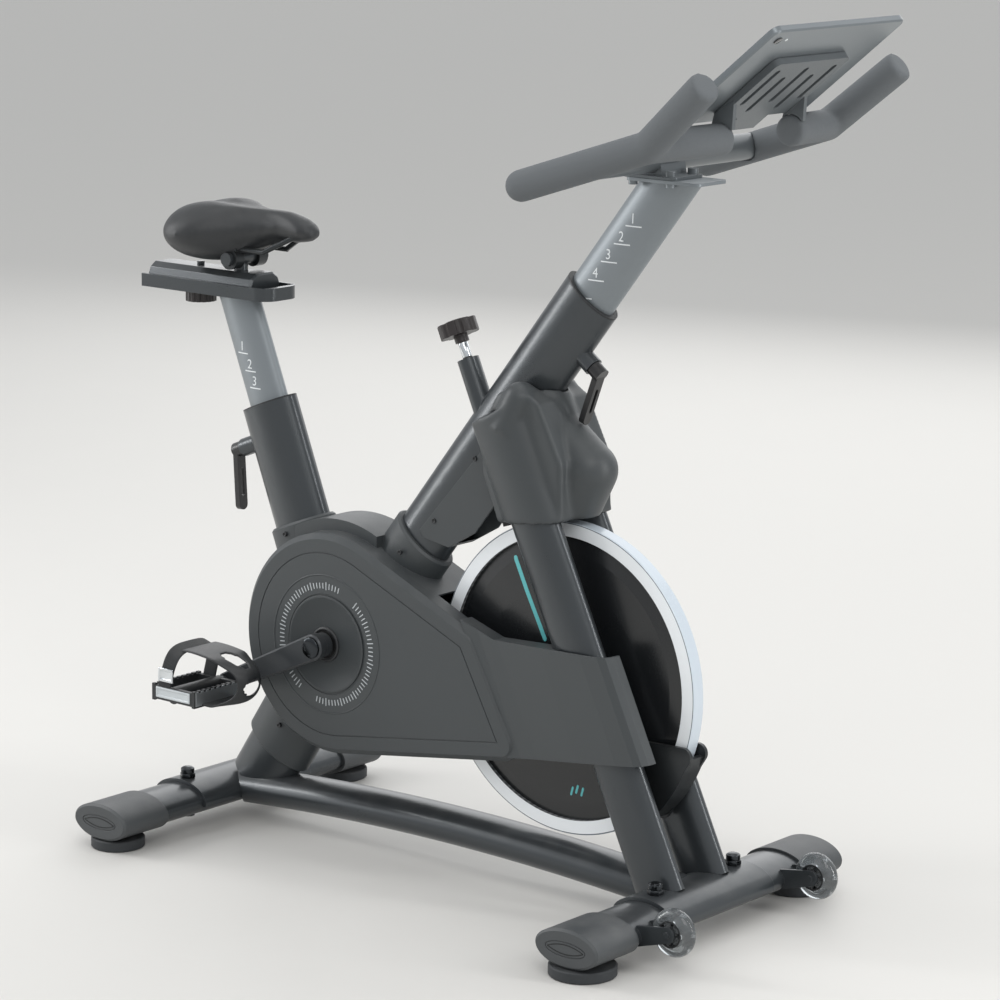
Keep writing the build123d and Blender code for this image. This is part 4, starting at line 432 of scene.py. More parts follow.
@dataclass
class FrameDressing:
    """Gives every carried-over CAD node its finish."""

    own: dict[str, Finish] = field(default_factory=lambda: {
        "saddle_base": Finishes.dark_steel, "handlebar_frame": Finishes.bar_paint,
        "bar_lever": Finishes.lever_plastic, "seat_lever": Finishes.lever_plastic, "magnet_bracket": Finishes.dark_steel})

    def dress(self) -> None:
        """Puts the finish of each node's material slot on the node."""
        slots = {part["node"]: part["material_slot"] for part in frame["record"]["subparts"]}
        for name, node in frame["nodes"].items():
            finish = self.own.get(name, BY_SLOT[slots[name]])
            if node.data.materials:
                node.data.materials[0] = finish.build()
            else:
                node.data.materials.append(finish.build())
        LOG.info("dressed %d nodes", len(frame["nodes"]))


@dataclass
class Studio:
    """Camera, pale floor and soft lights."""

    centre: Triple = (2.8614, -3.4238, 1.4076)
    azimuth: float = 39.4
    elevation: float = 11.7
    roll: float = 0.6
    lens: float = 131.0

    def camera(self) -> None:
        """Adds the camera at its measured place and aim."""
        a, e, r = (math.radians(v) for v in (self.azimuth, self.elevation, self.roll))
        back = Vector((math.sin(a) * math.cos(e), -math.cos(a) * math.cos(e), math.sin(e)))
        right = Vector((math.cos(a), math.sin(a), 0.0))
        up = back.cross(right)
        right, up = right * math.cos(r) + up * math.sin(r), up * math.cos(r) - right * math.sin(r)
        data = bpy.data.cameras.new("camera")
        data.lens = self.lens
        data.sensor_width = 36.0
        data.clip_start = 0.05
        data.clip_end = 100.0
        camera = bpy.data.objects.new("camera", data)
        bpy.context.scene.collection.objects.link(camera)
        turn = Matrix((right, up, back)).transposed().to_4x4()
        camera.matrix_world = Matrix.Translation(self.centre) @ turn
        bpy.context.scene.camera = camera

    def floor(self) -> None:
        """Adds the pale floor."""
        bpy.ops.object.select_all(action="DESELECT")
        bpy.ops.mesh.primitive_plane_add(size=40.0, location=(0.0, 0.0, -0.0005))
        floor = bpy.context.object
        floor.name = "studio_floor"
        bpy.ops.object.transform_apply(location=True, rotation=True, scale=True)
        finish = Finish("studio_floor", "frame_paint", paint("dcdad6"), 0.7, relief=0.02, wear_and_highlight=0.0, dust=0.0,
                        spread=0.02, scale=60.0)
        floor.data.materials.append(finish.build())

    def light(self, name: str, place: Triple, aim: Triple, size: Triple, power: float,
              colour: Triple = (1.0, 1.0, 1.0)) -> None:
        """Adds one soft box.

        Args:
            name: The lamp's name.
            place: Where it hangs.
            aim: The point it faces.
            size: Width and height, with a spare third number.
            power: Watts.
            colour: Light colour.
        """
        data = bpy.data.lights.new(name, "AREA")
        data.shape = "RECTANGLE"
        data.size, data.size_y = size[0], size[1]
        data.energy = power
        data.color = colour
        lamp = bpy.data.objects.new(name, data)
        bpy.context.scene.collection.objects.link(lamp)
        lamp.location = place
        lamp.rotation_euler = (Vector(aim) - Vector(place)).to_track_quat("-Z", "Y").to_euler()

    def build(self) -> None:
        """Sets up the whole studio."""
        self.camera()
        self.floor()
        self.light("window_back", (-1.2, 3.6, 2.2), (0.0, 0.0, 0.6), (5.0, 3.0, 0.0), 54.0)
        self.light("key", (2.6, -2.6, 3.6), (0.0, 0.0, 0.4), (2.6, 2.6, 0.0), 50.0, (1.0, 0.99, 0.97))
        self.light("side_fill", (-3.6, -2.2, 2.0), (0.0, 0.0, 0.5), (2.4, 2.6, 0.0), 20.0, (0.97, 0.98, 1.0))
        self.light("top", (0.0, 0.2, 4.2), (0.0, 0.0, 0.0), (3.0, 3.0, 0.0), 28.0)
        self.light("strip_left", (-2.6, -1.2, 1.4), (0.0, 0.0, 0.5), (0.35, 2.4, 0.0), 26.0)
        self.light("strip_right", (2.9, 0.7, 1.3), (0.0, 0.0, 0.5), (0.35, 2.2, 0.0), 26.0)
        world = bpy.data.worlds.new("studio_world")
        bpy.context.scene.world = world
        world.use_nodes = True
        backdrop = world.node_tree.nodes["Background"]
        backdrop.inputs["Color"].default_value = (0.90, 0.92, 0.94, 1.0)
        backdrop.inputs["Strength"].default_value = 0.7
        bpy.context.scene.view_settings.view_transform = "Standard"


# ------------------------------------------------------------------ bench
class Bench:
    """The modelling moves that every piece is made with."""

    @staticmethod
    def take(obj: bpy.types.Object) -> bpy.types.Object:
        """Selects one object alone and makes it active."""
        bpy.ops.object.select_all(action="DESELECT")
        obj.select_set(True)
        bpy.context.view_layer.objects.active = obj
        return obj

    @staticmethod
    def started(name: str) -> bpy.types.Object:
        """Names the object that an operator has just added and applies its place."""
        obj = Bench.take(bpy.context.object)
        obj.name = name
        bpy.ops.object.transform_apply(location=True, rotation=True, scale=True)
        return obj

    @staticmethod
    def drum(name: str, centre: Vector, radius: float, depth: float, turn: Triple = (0, 0, 0),
             sides: int = 48) -> bpy.types.Object:
        """A capped drum to shape further.

        Args:
            name: The piece's name.
            centre: Middle of the drum, metres.
            radius: Radius, metres.
            depth: Length along its axis, metres.
            turn: Euler turn from the Z axis, degrees.
            sides: Number of sides.

        Returns:
            The new object.
        """
        bpy.ops.object.select_all(action="DESELECT")
        bpy.ops.mesh.primitive_cylinder_add(vertices=sides, radius=radius, depth=depth, location=centre,
                                            rotation=tuple(math.radians(t) for t in turn))
        return Bench.started(name)

    @staticmethod
    def block(name: str, centre: Vector, size: Triple) -> bpy.types.Object:
        """A block to shape further, by its middle and its three sides in metres."""
        bpy.ops.object.select_all(action="DESELECT")
        bpy.ops.mesh.primitive_cube_add(size=1.0, location=centre, scale=size)
        return Bench.started(name)

    @staticmethod
    def sheet_grid(name: str, across: int, along: int, shape: Callable[[float, float], Vector]
                   ) -> bpy.types.Object:
        """A subdivided grid laid onto a surface given by two numbers from 0 to 1.

        Args:
            name: The piece's name.
            across: Cells in the first direction.
            along: Cells in the second direction.
            shape: Turns the two numbers into a point.

        Returns:
            The new object.
        """
        bpy.ops.object.select_all(action="DESELECT")
        bpy.ops.mesh.primitive_grid_add(x_subdivisions=across, y_subdivisions=along, size=1.0)
        obj = Bench.started(name)
        for vertex in obj.data.vertices:
            vertex.co = shape(vertex.co.x + 0.5, vertex.co.y + 0.5)
        return obj

    @staticmethod
    @contextmanager
    def editing(obj: bpy.types.Object, faces: Callable[[bmesh.types.BMFace], bool] | None = None
                ) -> Iterator[None]:
        """Edit mode with only the faces that pass the test selected (all when there is none)."""
        Bench.take(obj)
        bpy.ops.object.mode_set(mode="EDIT")
        bpy.ops.mesh.select_mode(type="FACE")
        bpy.ops.mesh.select_all(action="DESELECT" if faces else "SELECT")
        if faces:
            work = bmesh.from_edit_mesh(obj.data)
            for face in work.faces:
                face.select_set(bool(faces(face)))
            bmesh.update_edit_mesh(obj.data)
        yield
        bpy.ops.object.mode_set(mode="OBJECT")

    @staticmethod
    def modify(obj: bpy.types.Object, kind: str, **settings: object) -> None:
        """Adds one modifier, sets it and applies it."""
        Bench.take(obj)
        modifier = obj.modifiers.new(kind.lower(), kind)
        for key, value in settings.items():
            setattr(modifier, key, value)
        bpy.ops.object.modifier_apply(modifier=modifier.name)

    @staticmethod
    def soften(obj: bpy.types.Object, width: float, segments: int = 2, angle: float = 35.0) -> None:
        """Bevels every edge sharper than the angle."""
        Bench.modify(obj, "BEVEL", width=width, segments=segments, limit_method="ANGLE",
                     angle_limit=math.radians(angle))

    @staticmethod
    def twin(obj: bpy.types.Object, name: str) -> bpy.types.Object:
        """A copy with its own mesh, riding on nothing."""
        copy = bpy.data.objects.new(name, obj.data.copy())
        bpy.context.scene.collection.objects.link(copy)
        return copy

    @staticmethod
    def join(parts: Sequence[bpy.types.Object], name: str) -> bpy.types.Object:
        """Joins pieces of one finish into one object."""
        Bench.take(parts[0])
        for part in parts:
            part.select_set(True)
        bpy.ops.object.join()
        parts[0].name = name
        return parts[0]

    @staticmethod
    def skin(node: str, name: str, voxel: float, rounds: int, factor: float = 0.6) -> bpy.types.Object:
        """A closed, even, smoothed copy of a CAD node.

        Args:
            node: The CAD node's name.
            name: The copy's name.
            voxel: Size of the new mesh's cells, metres.
            rounds: Number of smoothing passes.
            factor: Strength of each pass.

        Returns:
            The new object.
        """
        copy = Bench.twin(frame["nodes"][node], name)
        Bench.take(copy)
        if copy.data.has_custom_normals:
            bpy.ops.mesh.customdata_custom_splitnormals_clear()
        with Bench.editing(copy):
            bpy.ops.mesh.remove_doubles(threshold=0.00002)
        Bench.modify(copy, "REMESH", mode="VOXEL", voxel_size=voxel)
        Bench.modify(copy, "SMOOTH", iterations=rounds, factor=factor)
        return copy

    @staticmethod
    def surface(node: str, x: float, z: float, side: int, proud: float) -> float:
        """Where a node's outer skin is along Y.

        Args:
            node: The CAD node's name.
            x: Place along X, metres.
            z: Place along Z, metres.
            side: -1 for the near skin, 1 for the far one.
            proud: How far outside the skin to stay, metres.

        Returns:
            The Y of the skin, or 0 when nothing is there.
        """
        hit, place, _, _ = frame["nodes"][node].ray_cast(Vector((x, side * 0.5, z)), Vector((0, -side, 0)))
        return place.y + side * proud if hit else 0.0

    @staticmethod
    def lay_on(obj: bpy.types.Object, node: str, side: int, thickness: float = 0.00016) -> None:
        """Drops a flat marking onto a node's skin and gives it a thickness."""
        for vertex in obj.data.vertices:
            vertex.co.y = Bench.surface(node, vertex.co.x, vertex.co.z, side, thickness / 4)
        Bench.modify(obj, "SOLIDIFY", thickness=thickness, offset=0.0)
        with Bench.editing(obj):
            bpy.ops.mesh.normals_make_consistent(inside=False)

    @staticmethod
    def done(obj: bpy.types.Object, body: str, finish: Finish, angle: float = 35.0) -> bpy.types.Object:
        """Gives a finished piece its shading, finish and body.

        Args:
            obj: The piece, in its place.
            body: The body it rides on.
            finish: Its finish.
            angle: Edges sharper than this stay sharp, degrees.

        Returns:
            The piece.
        """
        Bench.take(obj)
        bpy.ops.object.transform_apply(location=True, rotation=True, scale=True)
        bpy.ops.object.shade_smooth_by_angle(angle=math.radians(angle))
        obj.data.materials.clear()
        obj.data.materials.append(finish.build())
        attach(obj, body)
        LOG.info("%s: %d faces on %s", obj.name, len(obj.data.polygons), body)
        return obj


def smooth_path(corners: Sequence[tuple[float, float]], rounds: int = 3) -> list[tuple[float, float]]:
    """Rounds an open line by cutting its corners a few times, ends kept."""
    line = list(corners)
    for _ in range(rounds):
        cut = [line[0]]
        for (ax, az), (bx, bz) in zip(line, line[1:]):
            cut += [(ax * 0.75 + bx * 0.25, az * 0.75 + bz * 0.25), (ax * 0.25 + bx * 0.75, az * 0.25 + bz * 0.75)]
        line = cut + [line[-1]]
    return line


def along_path(line: Sequence[tuple[float, float]], share: float) -> tuple[float, float]:
    """The point at a share of a line's length."""
    spans = [math.dist(a, b) for a, b in zip(line, line[1:])]
    left = share * sum(spans)
    for (a, b), span in zip(zip(line, line[1:]), spans):
        if left <= span or (a, b) == (line[-2], line[-1]):
            t = left / span if span else 0.0
            return a[0] + (b[0] - a[0]) * t, a[1] + (b[1] - a[1]) * t
        left -= span
    return line[-1]


# ------------------------------------------------------------------ sub-assemblies
@dataclass
class Saddle:
    """Padded saddle with raised rear wings, with a dip between them."""

    voxel: float = 0.005
    pressure: float = 4.0
    last_frame: int = 20
    most: float = 0.006
    drop: float = 0.005
    rear_x: float = -0.492
    length: float = 0.239
    new_rear_x: float = -0.4745
    new_length: float = 0.2170
    narrow: float = 0.96
    upper_z: float = 0.79
    dip_depth: float = 0.006
    dip_width: float = 0.016
    wing_rise: float = 0.003
    wing_y: float = 0.045
    wing_width: float = 0.022

    def swell(self, pad: bpy.types.Object) -> None:
        """Blows the pad up a little as cloth, with its movement capped."""
        before = [vertex.co.copy() for vertex in pad.data.vertices]
        Bench.take(pad)
        cloth = pad.modifiers.new("cloth", "CLOTH")
        cloth.settings.use_pressure = True
        cloth.settings.uniform_pressure_force = self.pressure
        cloth.settings.effector_weights.gravity = 0.0
        cloth.settings.quality = 4
        for step in range(1, self.last_frame + 1):
            bpy.context.scene.frame_set(step)
        bpy.ops.object.modifier_apply(modifier=cloth.name)
        moves = [(vertex.co - start).length for vertex, start in zip(pad.data.vertices, before)]
        LOG.info("saddle cloth moved %.2f mm on average and %.2f mm at most, before the cap of %.1f mm",
                 1000 * sum(moves) / len(moves), 1000 * max(moves), 1000 * self.most)
        for vertex, start in zip(pad.data.vertices, before):
            move = vertex.co - start
            if move.length > self.most:
                vertex.co = start + move.normalized() * self.most
        bpy.context.scene.frame_set(1)

    def shape(self, pad: bpy.types.Object) -> None:
        """Shortens and narrows the pad, presses the middle dip, raises the wings and lowers it all."""
        for vertex in pad.data.vertices:
            x, y, z = vertex.co
            t = (x - self.rear_x) / self.length
            x = self.new_rear_x + t * self.new_length
            dip = self.dip_depth * math.exp(-(y / self.dip_width) ** 2) * max(0.0, 1.0 - abs(t - 0.28) / 0.42)
            wing = self.wing_rise * math.exp(-((abs(y) - self.wing_y) / self.wing_width) ** 2)
            wing *= max(0.0, 1.0 - abs(t - 0.18) / 0.3)
            if z > self.upper_z:
                z += wing - dip
            vertex.co = Vector((x, y * self.narrow, z - self.drop))

    def build(self) -> None:
        """Makes the pad."""
        pad = Bench.skin("saddle", "saddle_pad", self.voxel, 3)
        self.swell(pad)
        self.shape(pad)
        Bench.modify(pad, "SMOOTH", iterations=3, factor=0.5)
        Bench.modify(pad, "SUBSURF", levels=1, render_levels=1)
        Bench.done(pad, "saddle_set", Finishes.saddle_skin, 180.0)
        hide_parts("saddle")


@dataclass
class Grips:
    """Foam sleeves over the handlebar."""

    def build(self) -> None:
        """Makes both sleeves."""
        for side in ("near", "far"):
            sleeve = Bench.skin(f"foam_{side}", f"foam_sleeve_{side}", 0.0028, 5)
            Bench.modify(sleeve, "SUBSURF", levels=1, render_levels=1)
            Bench.done(sleeve, "bar_post_set", Finishes.foam, 180.0)
            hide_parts(f"foam_{side}")


@dataclass
class Shroud:
    """Moulded cover over the fork crown, in soft flowing forms."""

    def build(self) -> None:
        """Makes the smoothed moulding."""
        cover = Bench.skin("shroud", "shroud_moulding", 0.0026, 9, 0.7)
        Bench.done(cover, "frame", replace(Finishes.cover_plastic, name="shroud_plastic", wear_and_highlight=0.0), 180.0)
        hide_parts("shroud")


@dataclass
class CoverDecor:
    """Ring of ticks, dished disc, bead, collar and screws of the belt cover's near side."""

    x: float = -0.188
    z: float = 0.277
    face: float = 0.060
    mark_inner: float = 0.0725
    mark_outer: float = 0.0805

    def ring_of_marks(self) -> None:
        """Radial ticks in two arcs, each one a small block turned into place."""
        ticks = []
        for index in range(90):
            angle = index * 4.0
            if 20 <= angle <= 36 or 196 <= angle <= 212:
                continue
            tick = Bench.block(f"tick_{index}", Vector((0, 0, 0)), (0.0013, 0.0005, 0.0075 if index % 5 else 0.0105))
            Bench.take(tick)
            middle = (self.mark_inner + self.mark_outer) / 2
            a = math.radians(angle)
            tick.data.transform(Matrix.Translation((self.x + middle * math.sin(a), -self.face - 0.0001,
                                                    self.z + middle * math.cos(a))) @ Matrix.Rotation(a, 4, "Y"))
            ticks.append(tick)
        marks = Bench.join(ticks, "cover_marks")
        Bench.done(marks, "frame", replace(Finishes.marking, name="cover_marking", slot="cover_plastic",
                                           colour=paint("c4c9cc")))

    def bead(self, name: str, radius: float, width: float, height: float, finish: Finish, body: str = "frame",
             y: float | None = None) -> None:
        """A flattened ring about the crank axis, spun from one small loop."""
        bpy.ops.object.select_all(action="DESELECT")
        level = -self.face if y is None else y
        bpy.ops.mesh.primitive_torus_add(major_radius=radius, minor_radius=width / 2, major_segments=96,
                                         minor_segments=12, rotation=(math.pi / 2, 0, 0),
                                         location=(self.x, level, self.z))
        ring = Bench.started(name)
        for vertex in ring.data.vertices:
            vertex.co.y = level + (vertex.co.y - level) * height / (width / 2)
        Bench.done(ring, body, finish)

    def disc(self) -> None:
        """The shallow dished disc round the spindle hole."""
        disc = Bench.drum("cover_disc", Vector((self.x, -self.face - 0.0002, self.z)), 0.0635, 0.0016, (90, 0, 0), 96)
        with Bench.editing(disc, lambda f: f.normal.y < -0.9):
            bpy.ops.mesh.inset(thickness=0.0035)
            bpy.ops.mesh.inset(thickness=0.0012, depth=-0.0007)
        Bench.soften(disc, 0.0003)
        Bench.done(disc, "frame", replace(Finishes.cover_plastic, name="disc_plastic", colour=paint("3b3f41")))
        hole = Bench.drum("spindle_shadow", Vector((self.x, -self.face - 0.0007, self.z)), 0.0185, 0.0020,
                          (90, 0, 0), 64)
        with Bench.editing(hole, lambda f: f.normal.y < -0.9):
            bpy.ops.mesh.inset(thickness=0.0020)
            bpy.ops.mesh.inset(thickness=0.0010, depth=-0.0010)
        Bench.done(hole, "frame", Finishes.hole)

    def screws(self) -> None:
        """Small socket screws, each with its sunk hexagon."""
        places = ((-0.285, -0.032, 0.403, "screw_a"), (-0.085, -0.035, 0.409, "screw_b"),
                  (-0.296, -0.032, 0.1445, "screw_c"), (0.028, -0.0235, 0.543, "screw_d"),
                  (-0.038, -0.0235, 0.455, "screw_e"))
        for x, y, z, name in places:
            head = Bench.drum(name, Vector((x, y, z)), 0.0032, 0.004, (90, 0, 0), 24)
            with Bench.editing(head, lambda f: f.normal.y < -0.9):
                bpy.ops.mesh.inset(thickness=0.0012)
                bpy.ops.mesh.inset(thickness=0.0004, depth=-0.0010)
            Bench.soften(head, 0.0004)
            Bench.done(head, "frame", Finishes.black_plastic)

    def build(self) -> None:
        """Makes all of it."""
        self.ring_of_marks()
        self.disc()
        self.screws()
        self.bead("cover_bead", 0.0905, 0.0022, 0.0007, Finishes.cover_plastic)
        self.bead("hole_collar", 0.0205, 0.0050, 0.0026, Finishes.black_plastic, y=-self.face - 0.0008)


@dataclass
class FlywheelTrim:
    """Stripe and small marks on the near and far faces of the flywheel."""

    ends: tuple[tuple[float, float], tuple[float, float]] = ((0.082, 0.423), (0.1345, 0.329))
    width: float = 0.0062

    def stripe(self, name: str, start: tuple[float, float], end: tuple[float, float], width: float,
               side: int) -> None:
        """A round-ended stripe that follows the dished face.

        Args:
            name: The piece's name.
            start: First end, X and Z.
            end: Second end, X and Z.
            width: Stripe width.
            side: -1 for the near face, 1 for the far one.
        """
        run = Vector((end[0] - start[0], 0, end[1] - start[1]))
        step, off = run.normalized(), run.normalized().cross(Vector((0, 1, 0)))

        def point(u: float, v: float) -> Vector:
            """The stripe's surface before it is laid on the disc."""
            across = 2 * u - 1
            reach = math.sqrt(max(0.0, 1 - across * across)) * width / 2
            near = Vector((start[0], 0, start[1])) - step * reach
            far = Vector((end[0], 0, end[1])) + step * reach
            return near.lerp(far, v) + off * (across * width / 2)

        stripe = Bench.sheet_grid(name, 9, 40, point)
        Bench.lay_on(stripe, "flywheel", side)
        Bench.done(stripe, "flywheel_set", Finishes.teal)

    def build(self) -> None:
        """Lays the stripe and the short marks on both faces."""
        for side, label in ((-1, "near"), (1, "far")):
            self.stripe(f"flywheel_stripe_{label}", *self.ends, self.width, side)
            for index, (x, z) in enumerate(((0.176, 0.137), (0.184, 0.1405), (0.192, 0.1385))):
                self.stripe(f"flywheel_mark_{label}_{index}", (x, z), (x + 0.003, z + 0.009), 0.0032, side)


@dataclass
class PostMarks:
    """Height marks on the near sides of the two sliding posts."""

    bar_rows: tuple[tuple[float, float, str], ...] = (
        (0.263, 0.853, "1"), (0.246, 0.830, "2"), (0.227, 0.807, "3"), (0.208, 0.783, "4"), (0.190, 0.760, ""))
    seat_rows: tuple[tuple[float, float, str], ...] = (
        (-0.375, 0.629, "1"), (-0.3615, 0.6065, "2"), (-0.353, 0.585, "3"))
    dash: float = 0.024

    def row(self, name: str, node: str, body: str, x: float, z: float, digit: str, dash: float) -> None:
        """One dash with its digit above it.

        Args:
            name: The piece's name.
            node: The post's CAD node.
            body: The post's body.
            x: Middle of the dash.
            z: Height of the dash.
            digit: Number over the dash, or nothing.
            dash: Length of the dash.
        """
        line = Bench.sheet_grid(name + "_dash", 12, 2,
                                lambda u, v: Vector((x + (u - 0.5) * dash, 0, z + (v - 0.5) * 0.0016)))
        parts = [line]
        if digit:
            bpy.ops.object.select_all(action="DESELECT")
            bpy.ops.object.text_add()
            text = bpy.context.object
            text.data.body = digit
            text.data.size = 0.0175
            text.data.align_x = "CENTER"
            bpy.ops.object.convert(target="MESH")
            text = bpy.context.object
            text.data.transform(Matrix.Translation((x - 0.001, 0, z + 0.0035)) @ Matrix.Rotation(math.pi / 2, 4, "X"))
            parts.append(text)
        mark = Bench.join(parts, name)
        Bench.lay_on(mark, node, -1)
        Bench.done(mark, body, Finishes.marking)

    def build(self) -> None:
        """Marks both posts."""
        for index, (x, z, digit) in enumerate(self.bar_rows):
            self.row(f"bar_mark_{index}", "bar_post", "bar_post_set", x, z, digit, self.dash)
        for index, (x, z, digit) in enumerate(self.seat_rows):
            self.row(f"seat_mark_{index}", "seat_post", "seat_post_set", x, z, digit, self.dash * 0.8)


@dataclass
class Pedal:
    """One pedal's bright serrated rails and reflector, and its toe cage with strap."""

    side: int
    x: float
    z: float
    cage_line: tuple[tuple[float, float], ...] = (
        (0.036, -0.0075), (0.060, -0.0080), (0.086, -0.0020), (0.1015, 0.012), (0.1045, 0.028), (0.096, 0.0425),
        (0.069, 0.0525), (0.030, 0.0585), (0.004, 0.0585))

    @property
    def label(self) -> str:
        """near or far."""
        return "near" if self.side < 0 else "far"

    @property
    def body(self) -> str:
        """The pedal's body."""
        return f"pedal_{self.label}_set"

    def rails(self) -> None:
        """Two silver side rails whose tops are cut into teeth."""
        for end in (-1, 1):
            rail = Bench.block(f"pedal_rail_{self.label}_{'fore' if end > 0 else 'aft'}",
                               Vector((self.x + end * 0.0385, self.side * 0.141, self.z)), (0.0014, 0.082, 0.017))
            with Bench.editing(rail, lambda f: f.normal.z > 0.9):
                bpy.ops.mesh.subdivide(number_cuts=16)
            low = self.side * 0.141 - 0.041
            with Bench.editing(rail, lambda f: f.normal.z > 0.9
                               and int((f.calc_center_median().y - low) / 0.00483) % 2 == 0):
                bpy.ops.mesh.extrude_region_move(TRANSFORM_OT_translate={"value": (0, 0, 0.0020)})
            Bench.done(rail, self.body, Finishes.alloy, 30.0)

    def reflector(self) -> None:
        """The pale reflector block on the outer end, with a sunk inner panel."""
        y = self.side * 0.1845
        block = Bench.block(f"pedal_reflector_{self.label}", Vector((self.x, y - self.side * 0.001, self.z + 0.001)),
                            (0.060, 0.004, 0.014))
        with Bench.editing(block, lambda f: f.normal.y * self.side > 0.9):
            bpy.ops.mesh.inset(thickness=0.0022)
            bpy.ops.mesh.inset(thickness=0.0010, depth=-0.0012)
        Bench.soften(block, 0.0010, 3)
        Bench.done(block, self.body, Finishes.reflector)

    def cage(self) -> None:
        """The moulded toe cage: a bent shell with oval windows and a rounded nose."""
        line = smooth_path(self.cage_line, 3)
        wide, narrow = 0.031, 0.021

        def point(u: float, v: float) -> Vector:
            """The shell's middle surface."""
            px, pz = along_path(line, u)
            across = 2 * v - 1
            nose = math.sin(math.pi * min(1.0, max(0.0, (u - 0.10) / 0.62)))
            half = wide - (wide - narrow) * nose
            pull = 0.010 * nose * across * across
            centre_x, centre_z = 0.050, 0.026
            way = Vector((centre_x - px, 0, centre_z - pz))
            way = way.normalized() * pull if way.length > 0 else way
            return Vector((self.x + px, self.side * 0.141 + across * half, self.z + pz)) + way

        shell = Bench.sheet_grid(f"toe_cage_{self.label}", 44, 20, point)
        with Bench.editing(shell, lambda f: self.in_window(f, shell)):
            bpy.ops.mesh.delete(type="FACE")
        Bench.modify(shell, "SOLIDIFY", thickness=0.0028, offset=0.0)
        Bench.modify(shell, "SUBSURF", levels=1, render_levels=1)
        with Bench.editing(shell):
            bpy.ops.mesh.normals_make_consistent(inside=False)
        Bench.done(shell, self.body, Finishes.black_plastic, 50.0)
        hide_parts(f"toe_clip_{self.label}")

    def in_window(self, face: bmesh.types.BMFace, shell: bpy.types.Object) -> bool:
        """Whether a shell face lies in one of the two oval windows."""
        centre = face.calc_center_median()
        px, pz = centre.x - self.x, centre.z - self.z
        across = (centre.y - self.side * 0.141) / 0.011
        top = ((px - 0.070) / 0.022) ** 2 + across ** 2 < 1.0 and pz > 0.03
        front = px > 0.085 and ((pz - 0.020) / 0.011) ** 2 + (across * 0.8) ** 2 < 1.0
        return top or front

    def strap(self) -> None:
        """The webbing strap over the foot and its buckle."""
        lean = math.radians(26.0)
        foot = Vector((self.x - 0.019, self.side * 0.141, self.z))
        rise = Vector((math.sin(lean) * 0.55, 0, math.cos(lean)))
        loop = smooth_path(((-0.0415, 0.004), (-0.0415, 0.048), (-0.030, 0.066), (0.0, 0.0675), (0.030, 0.066),
                            (0.0415, 0.048), (0.0415, 0.004)), 3)

        def point(u: float, v: float) -> Vector:
            """The strap's middle surface."""
            py, pr = along_path(loop, u)
            return foot + Vector((0, py, 0)) + rise * pr + Vector((0.020 * (v - 0.5), 0, -0.006 * (v - 0.5)))

        band = Bench.sheet_grid(f"toe_strap_{self.label}", 60, 6, point)
        Bench.modify(band, "SOLIDIFY", thickness=0.0018, offset=0.0)
        with Bench.editing(band):
            bpy.ops.mesh.normals_make_consistent(inside=False)
        Bench.soften(band, 0.0004)
        Bench.done(band, self.body, Finishes.strap_web, 50.0)
        py, pr = along_path(loop, 0.13 if self.side < 0 else 0.87)
        place = foot + Vector((0, py + self.side * 0.0022, 0)) + rise * pr
        buckle = Bench.block(f"strap_buckle_{self.label}", place, (0.026, 0.0026, 0.018))
        with Bench.editing(buckle, lambda f: f.normal.y * self.side > 0.9):
            bpy.ops.mesh.inset(thickness=0.0032)
            bpy.ops.mesh.inset(thickness=0.0006, depth=-0.0014)
        Bench.soften(buckle, 0.0006, 3)
        Bench.done(buckle, self.body, Finishes.chrome)

    def build(self) -> None:
        """Makes the whole pedal."""
        self.rails()
        self.reflector()
        self.cage()
        self.strap()


@dataclass
class TransportWheels:
    """Spoked hubs inside the clear wheels."""

    x: float = 0.440
    y: float = 0.146
    z: float = 0.0495
    bolt_y: float = 0.1560
    spokes: int = 6

    def build(self) -> None:
        """Makes both hubs."""
        for side, label in ((-1, "near"), (1, "far")):
            hub = Bench.drum(f"wheel_hub_{label}", Vector((self.x, side * self.y, self.z)), 0.0165, 0.0208,
                             (90, 0, 0), 48)
            with Bench.editing(hub, lambda f: abs(f.normal.y) > 0.9):
                bpy.ops.mesh.inset(thickness=0.0022, use_individual=True)
                bpy.ops.mesh.inset(thickness=0.0008, depth=-0.0045, use_individual=True)
            parts = [hub]
            for index in range(self.spokes):
                arm = Bench.block(f"spoke_{index}", Vector((0, 0, 0.0085)), (0.0034, 0.0190, 0.013))
                Bench.soften(arm, 0.0006)
                arm.data.transform(Matrix.Translation((self.x, side * self.y, self.z))
                                   @ Matrix.Rotation(index * math.tau / self.spokes, 4, "Y"))
                parts.append(arm)
            Bench.done(Bench.join(parts, f"wheel_hub_{label}"), f"wheel_{label}_set", Finishes.black_plastic)
            bolt = Bench.drum(f"wheel_bolt_{label}", Vector((self.x, side * self.bolt_y, self.z)), 0.0058, 0.0050,
                              (90, 0, 0), 32)
            with Bench.editing(bolt, lambda f: abs(f.normal.y) > 0.9):
                bpy.ops.mesh.inset(thickness=0.0020, use_individual=True)
                bpy.ops.mesh.inset(thickness=0.0004, depth=-0.0015, use_individual=True)
            Bench.soften(bolt, 0.0007, 3)
            Bench.done(bolt, f"wheel_{label}_set", Finishes.dark_chrome)


